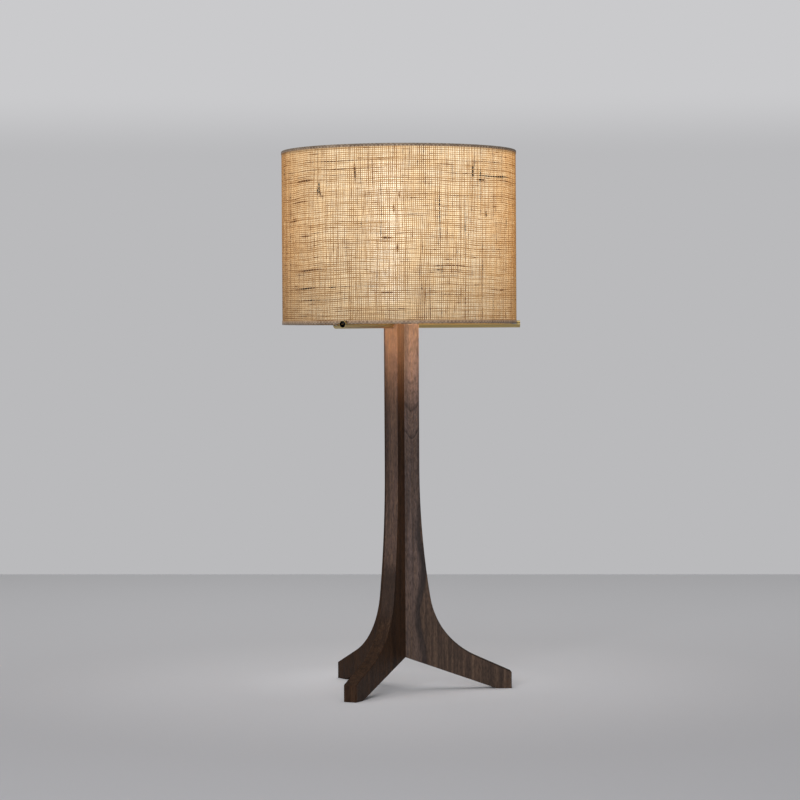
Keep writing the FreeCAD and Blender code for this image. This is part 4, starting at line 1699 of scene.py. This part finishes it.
@dataclass
class Bulb:
    """The bulb and the light that it sheds on the lamp itself."""

    middle_height: float = 0.650
    light_radius: float = 0.0335
    power: float = 1.1
    colour: Triple = (1.0, 0.74, 0.46)
    collar_count: int = 6
    collar_radius: float = 0.120
    collar_height: float = 0.512
    collar_drop: float = 0.021
    collar_power: float = 1.20
    collar_softness: float = 0.012
    collar_spread: float = 98.0
    collar_blend: float = 0.78

    def build(self) -> None:
        """Dresses the bulb's own pieces."""
        for node, finish in (
            ("bulb_globe", FrostedGlass("frosted glass")),
            ("bulb_cap", Metal("bulb cap metal", paint(198, 196, 190), paint(150, 148, 142), grain=2.0)),
            ("bulb_insulator", Moulded("black glass", paint(16, 15, 16), paint(28, 26, 28), (0.1, 0.2))),
            ("bulb_contact", Metal("solder tip", paint(176, 176, 174), paint(128, 126, 122), grain=3.0)),
            ("bulb_stem", ClearGlass("clear glass")),
            ("bulb_leads", Metal("lead wire", paint(190, 170, 150), paint(140, 118, 96), grain=4.0)),
            ("bulb_filament", HotWire("filament wire")),
        ):
            dress_nodes(finish, node)

    def shed_light(self) -> None:
        """Hangs lamps in the shade that light only the lamp itself, those of the collar only the boards."""
        lit = bpy.data.collections.new("lit by the bulb")
        boards = bpy.data.collections.new("lit by the collar")
        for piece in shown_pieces():
            lit.objects.link(piece)
            if piece.name.startswith("fin_"):
                boards.objects.link(piece)
        place = Matrix.Translation((0.0, 0.0, self.middle_height))
        self.hang("bulb light", "POINT", self.power, self.light_radius, place, lit, Body.BULB)
        for number in range(self.collar_count):
            turn = FULL_TURN * (number + 0.5) / self.collar_count
            start = Vector((math.cos(turn), math.sin(turn), 0.0)) * self.collar_radius
            start.z = self.collar_height
            aim = Vector((0.0, 0.0, self.collar_height - self.collar_drop)) - start
            place = Matrix.Translation(start) @ aim.to_track_quat("-Z", "Y").to_matrix().to_4x4()
            name = f"collar light {number}"
            spot = self.hang(name, "SPOT", self.collar_power, self.collar_softness, place, boards, Body.STAND)
            spot.spot_size = math.radians(self.collar_spread)
            spot.spot_blend = self.collar_blend

    def hang(
        self, name: str, kind: str, power: float, radius: float, place: Matrix,
        lit: bpy.types.Collection, body: Body,
    ) -> bpy.types.Light:
        """Hangs one of the bulb's lamps.

        Args:
            name: Name of the lamp.
            kind: Blender's name of the light's type.
            power: Its power in watts.
            radius: Radius of its soft source.
            place: Where it hangs and how it is turned.
            lit: The pieces that it lights.
            body: Body that it moves with.

        Returns:
            The light.
        """
        light = bpy.data.lights.new(name, kind)
        light.energy = power
        light.color = self.colour
        light.shadow_soft_size = radius
        made = add_object(name, light)
        made.matrix_world = place
        made.visible_camera = False
        made.visible_glossy = False
        made.light_linking.receiver_collection = lit
        made.parent = frame["bodies"][body.value]
        return light


@dataclass(frozen=True)
class Softbox:
    """A soft rectangular lamp, with its brightness as seen."""

    name: str
    place: Triple
    size: Pair
    brightness: float


@dataclass
class Studio:
    """Floor, background, soft lights and the camera."""

    camera_place: Triple = (-0.1947, -3.5947, 0.4744)
    heading: float = 3.1013
    pitch: float = 1.3
    roll: float = 0.33
    lens: float = 119.46
    sensor: float = 36.0
    floor_behind: float = 1.757
    floor_reach: float = 12.0
    floor_skew: float = -3.7
    ambient: Range = (0.02, 0.26)
    bright_side: Triple = (-0.45, -0.74, 0.50)
    wall: Colour = paint(186, 186, 188)
    wall_high: Colour = paint(202, 202, 204)
    fade_slopes: Range = (0.068, 0.093)
    lamps: tuple[Softbox, ...] = (
        Softbox("overhead softbox", (0.10, 0.4, 2.8), (2.8, 2.4), 1.36),
        Softbox("front softbox", (-1.10, -3.80, 1.25), (2.2, 1.8), 5.9),
        Softbox("left softbox", (-2.2, -1.45, 0.95), (1.0, 1.3), 0.35),
        Softbox("strip softbox", (-0.60, -3.60, 0.75), (0.26, 1.5), 5.0),
    )
    aim: Triple = (0.0, 0.0, 0.42)

    def floor(self) -> None:
        """Floor with a straight far edge square to the camera's view."""
        shape = bmesh.new()
        bmesh.ops.create_grid(shape, x_segments=1, y_segments=1, size=self.floor_reach)
        bmesh.ops.translate(shape, verts=shape.verts[:], vec=(0.0, self.floor_behind - self.floor_reach, 0.0))
        turned = Matrix.Rotation(math.radians(self.floor_skew - self.heading), 3, "Z")
        bmesh.ops.rotate(shape, verts=shape.verts[:], cent=AXIS_POINT, matrix=turned)
        made = mesh_piece("studio_floor", shape)
        made.data.materials.append(StudioFloor("studio floor").material())
        made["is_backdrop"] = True

    def background(self) -> None:
        """Grey wall for what is seen directly and through glass, and plain light for the rest."""
        world = bpy.data.worlds.new("studio")
        world.use_nodes = True
        bpy.context.scene.world = world
        world.node_tree.nodes.clear()
        board = NodeBoard(world.node_tree)
        direction = board.out("ShaderNodeTexCoord", result="Generated")
        seen = board.mixed(direction.parts()[2].remap(self.fade_slopes), self.wall, self.wall_high)
        path = board.node("ShaderNodeLightPath").outputs
        shown = board.maths("MAXIMUM", path["Is Camera Ray"], path["Is Transmission Ray"])
        level = board.vectors("DOT_PRODUCT", direction, self.bright_side).remap((-1.0, 1.0), self.ambient)
        light = board.joined(level, level, level)
        shader = board.out("ShaderNodeBackground", {"Color": board.mixed(shown, light, seen)})
        board.node("ShaderNodeOutputWorld", {"Surface": shader})

    def lights(self) -> None:
        """Large soft lamps at a plain level, turned towards the lamp."""
        for lamp in self.lamps:
            light = bpy.data.lights.new(lamp.name, "AREA")
            light.shape = "RECTANGLE"
            light.size, light.size_y = lamp.size
            light.energy = lamp.brightness * math.pi * lamp.size[0] * lamp.size[1]
            made = add_object(lamp.name, light)
            made.location = lamp.place
            made.rotation_mode = "QUATERNION"
            made.rotation_quaternion = (Vector(self.aim) - Vector(lamp.place)).to_track_quat("-Z", "Y")
            made.visible_camera = False

    def camera(self) -> None:
        """Camera at the photograph's place, with its slight roll."""
        data = bpy.data.cameras.new("camera")
        data.lens = self.lens
        data.sensor_width = self.sensor
        made = add_object("camera", data)
        heading, pitch = math.radians(self.heading), math.radians(self.pitch)
        view = Vector(
            (math.sin(heading) * math.cos(pitch), math.cos(heading) * math.cos(pitch), -math.sin(pitch))
        )
        level = view.to_track_quat("-Z", "Y")
        lean = Matrix.Rotation(-math.radians(self.roll), 3, "Z").to_quaternion()
        made.rotation_mode = "QUATERNION"
        made.rotation_quaternion = level @ lean
        made.location = self.camera_place
        bpy.context.scene.camera = made

    def build(self) -> None:
        """Sets up the studio."""
        bpy.context.scene.view_settings.view_transform = "Standard"
        self.camera()
        self.floor()
        self.background()
        self.lights()


def main() -> None:
    """Builds the studio and the lamp's sub-assemblies in order."""
    logging.basicConfig(level=logging.INFO, format="%(name)s: %(message)s")
    bulb = Bulb()
    for assembly in (Studio(), Stand(), LampHolder(), bulb, Shade()):
        assembly.build()
    bulb.shed_light()


if __name__ == "__main__":
    main()
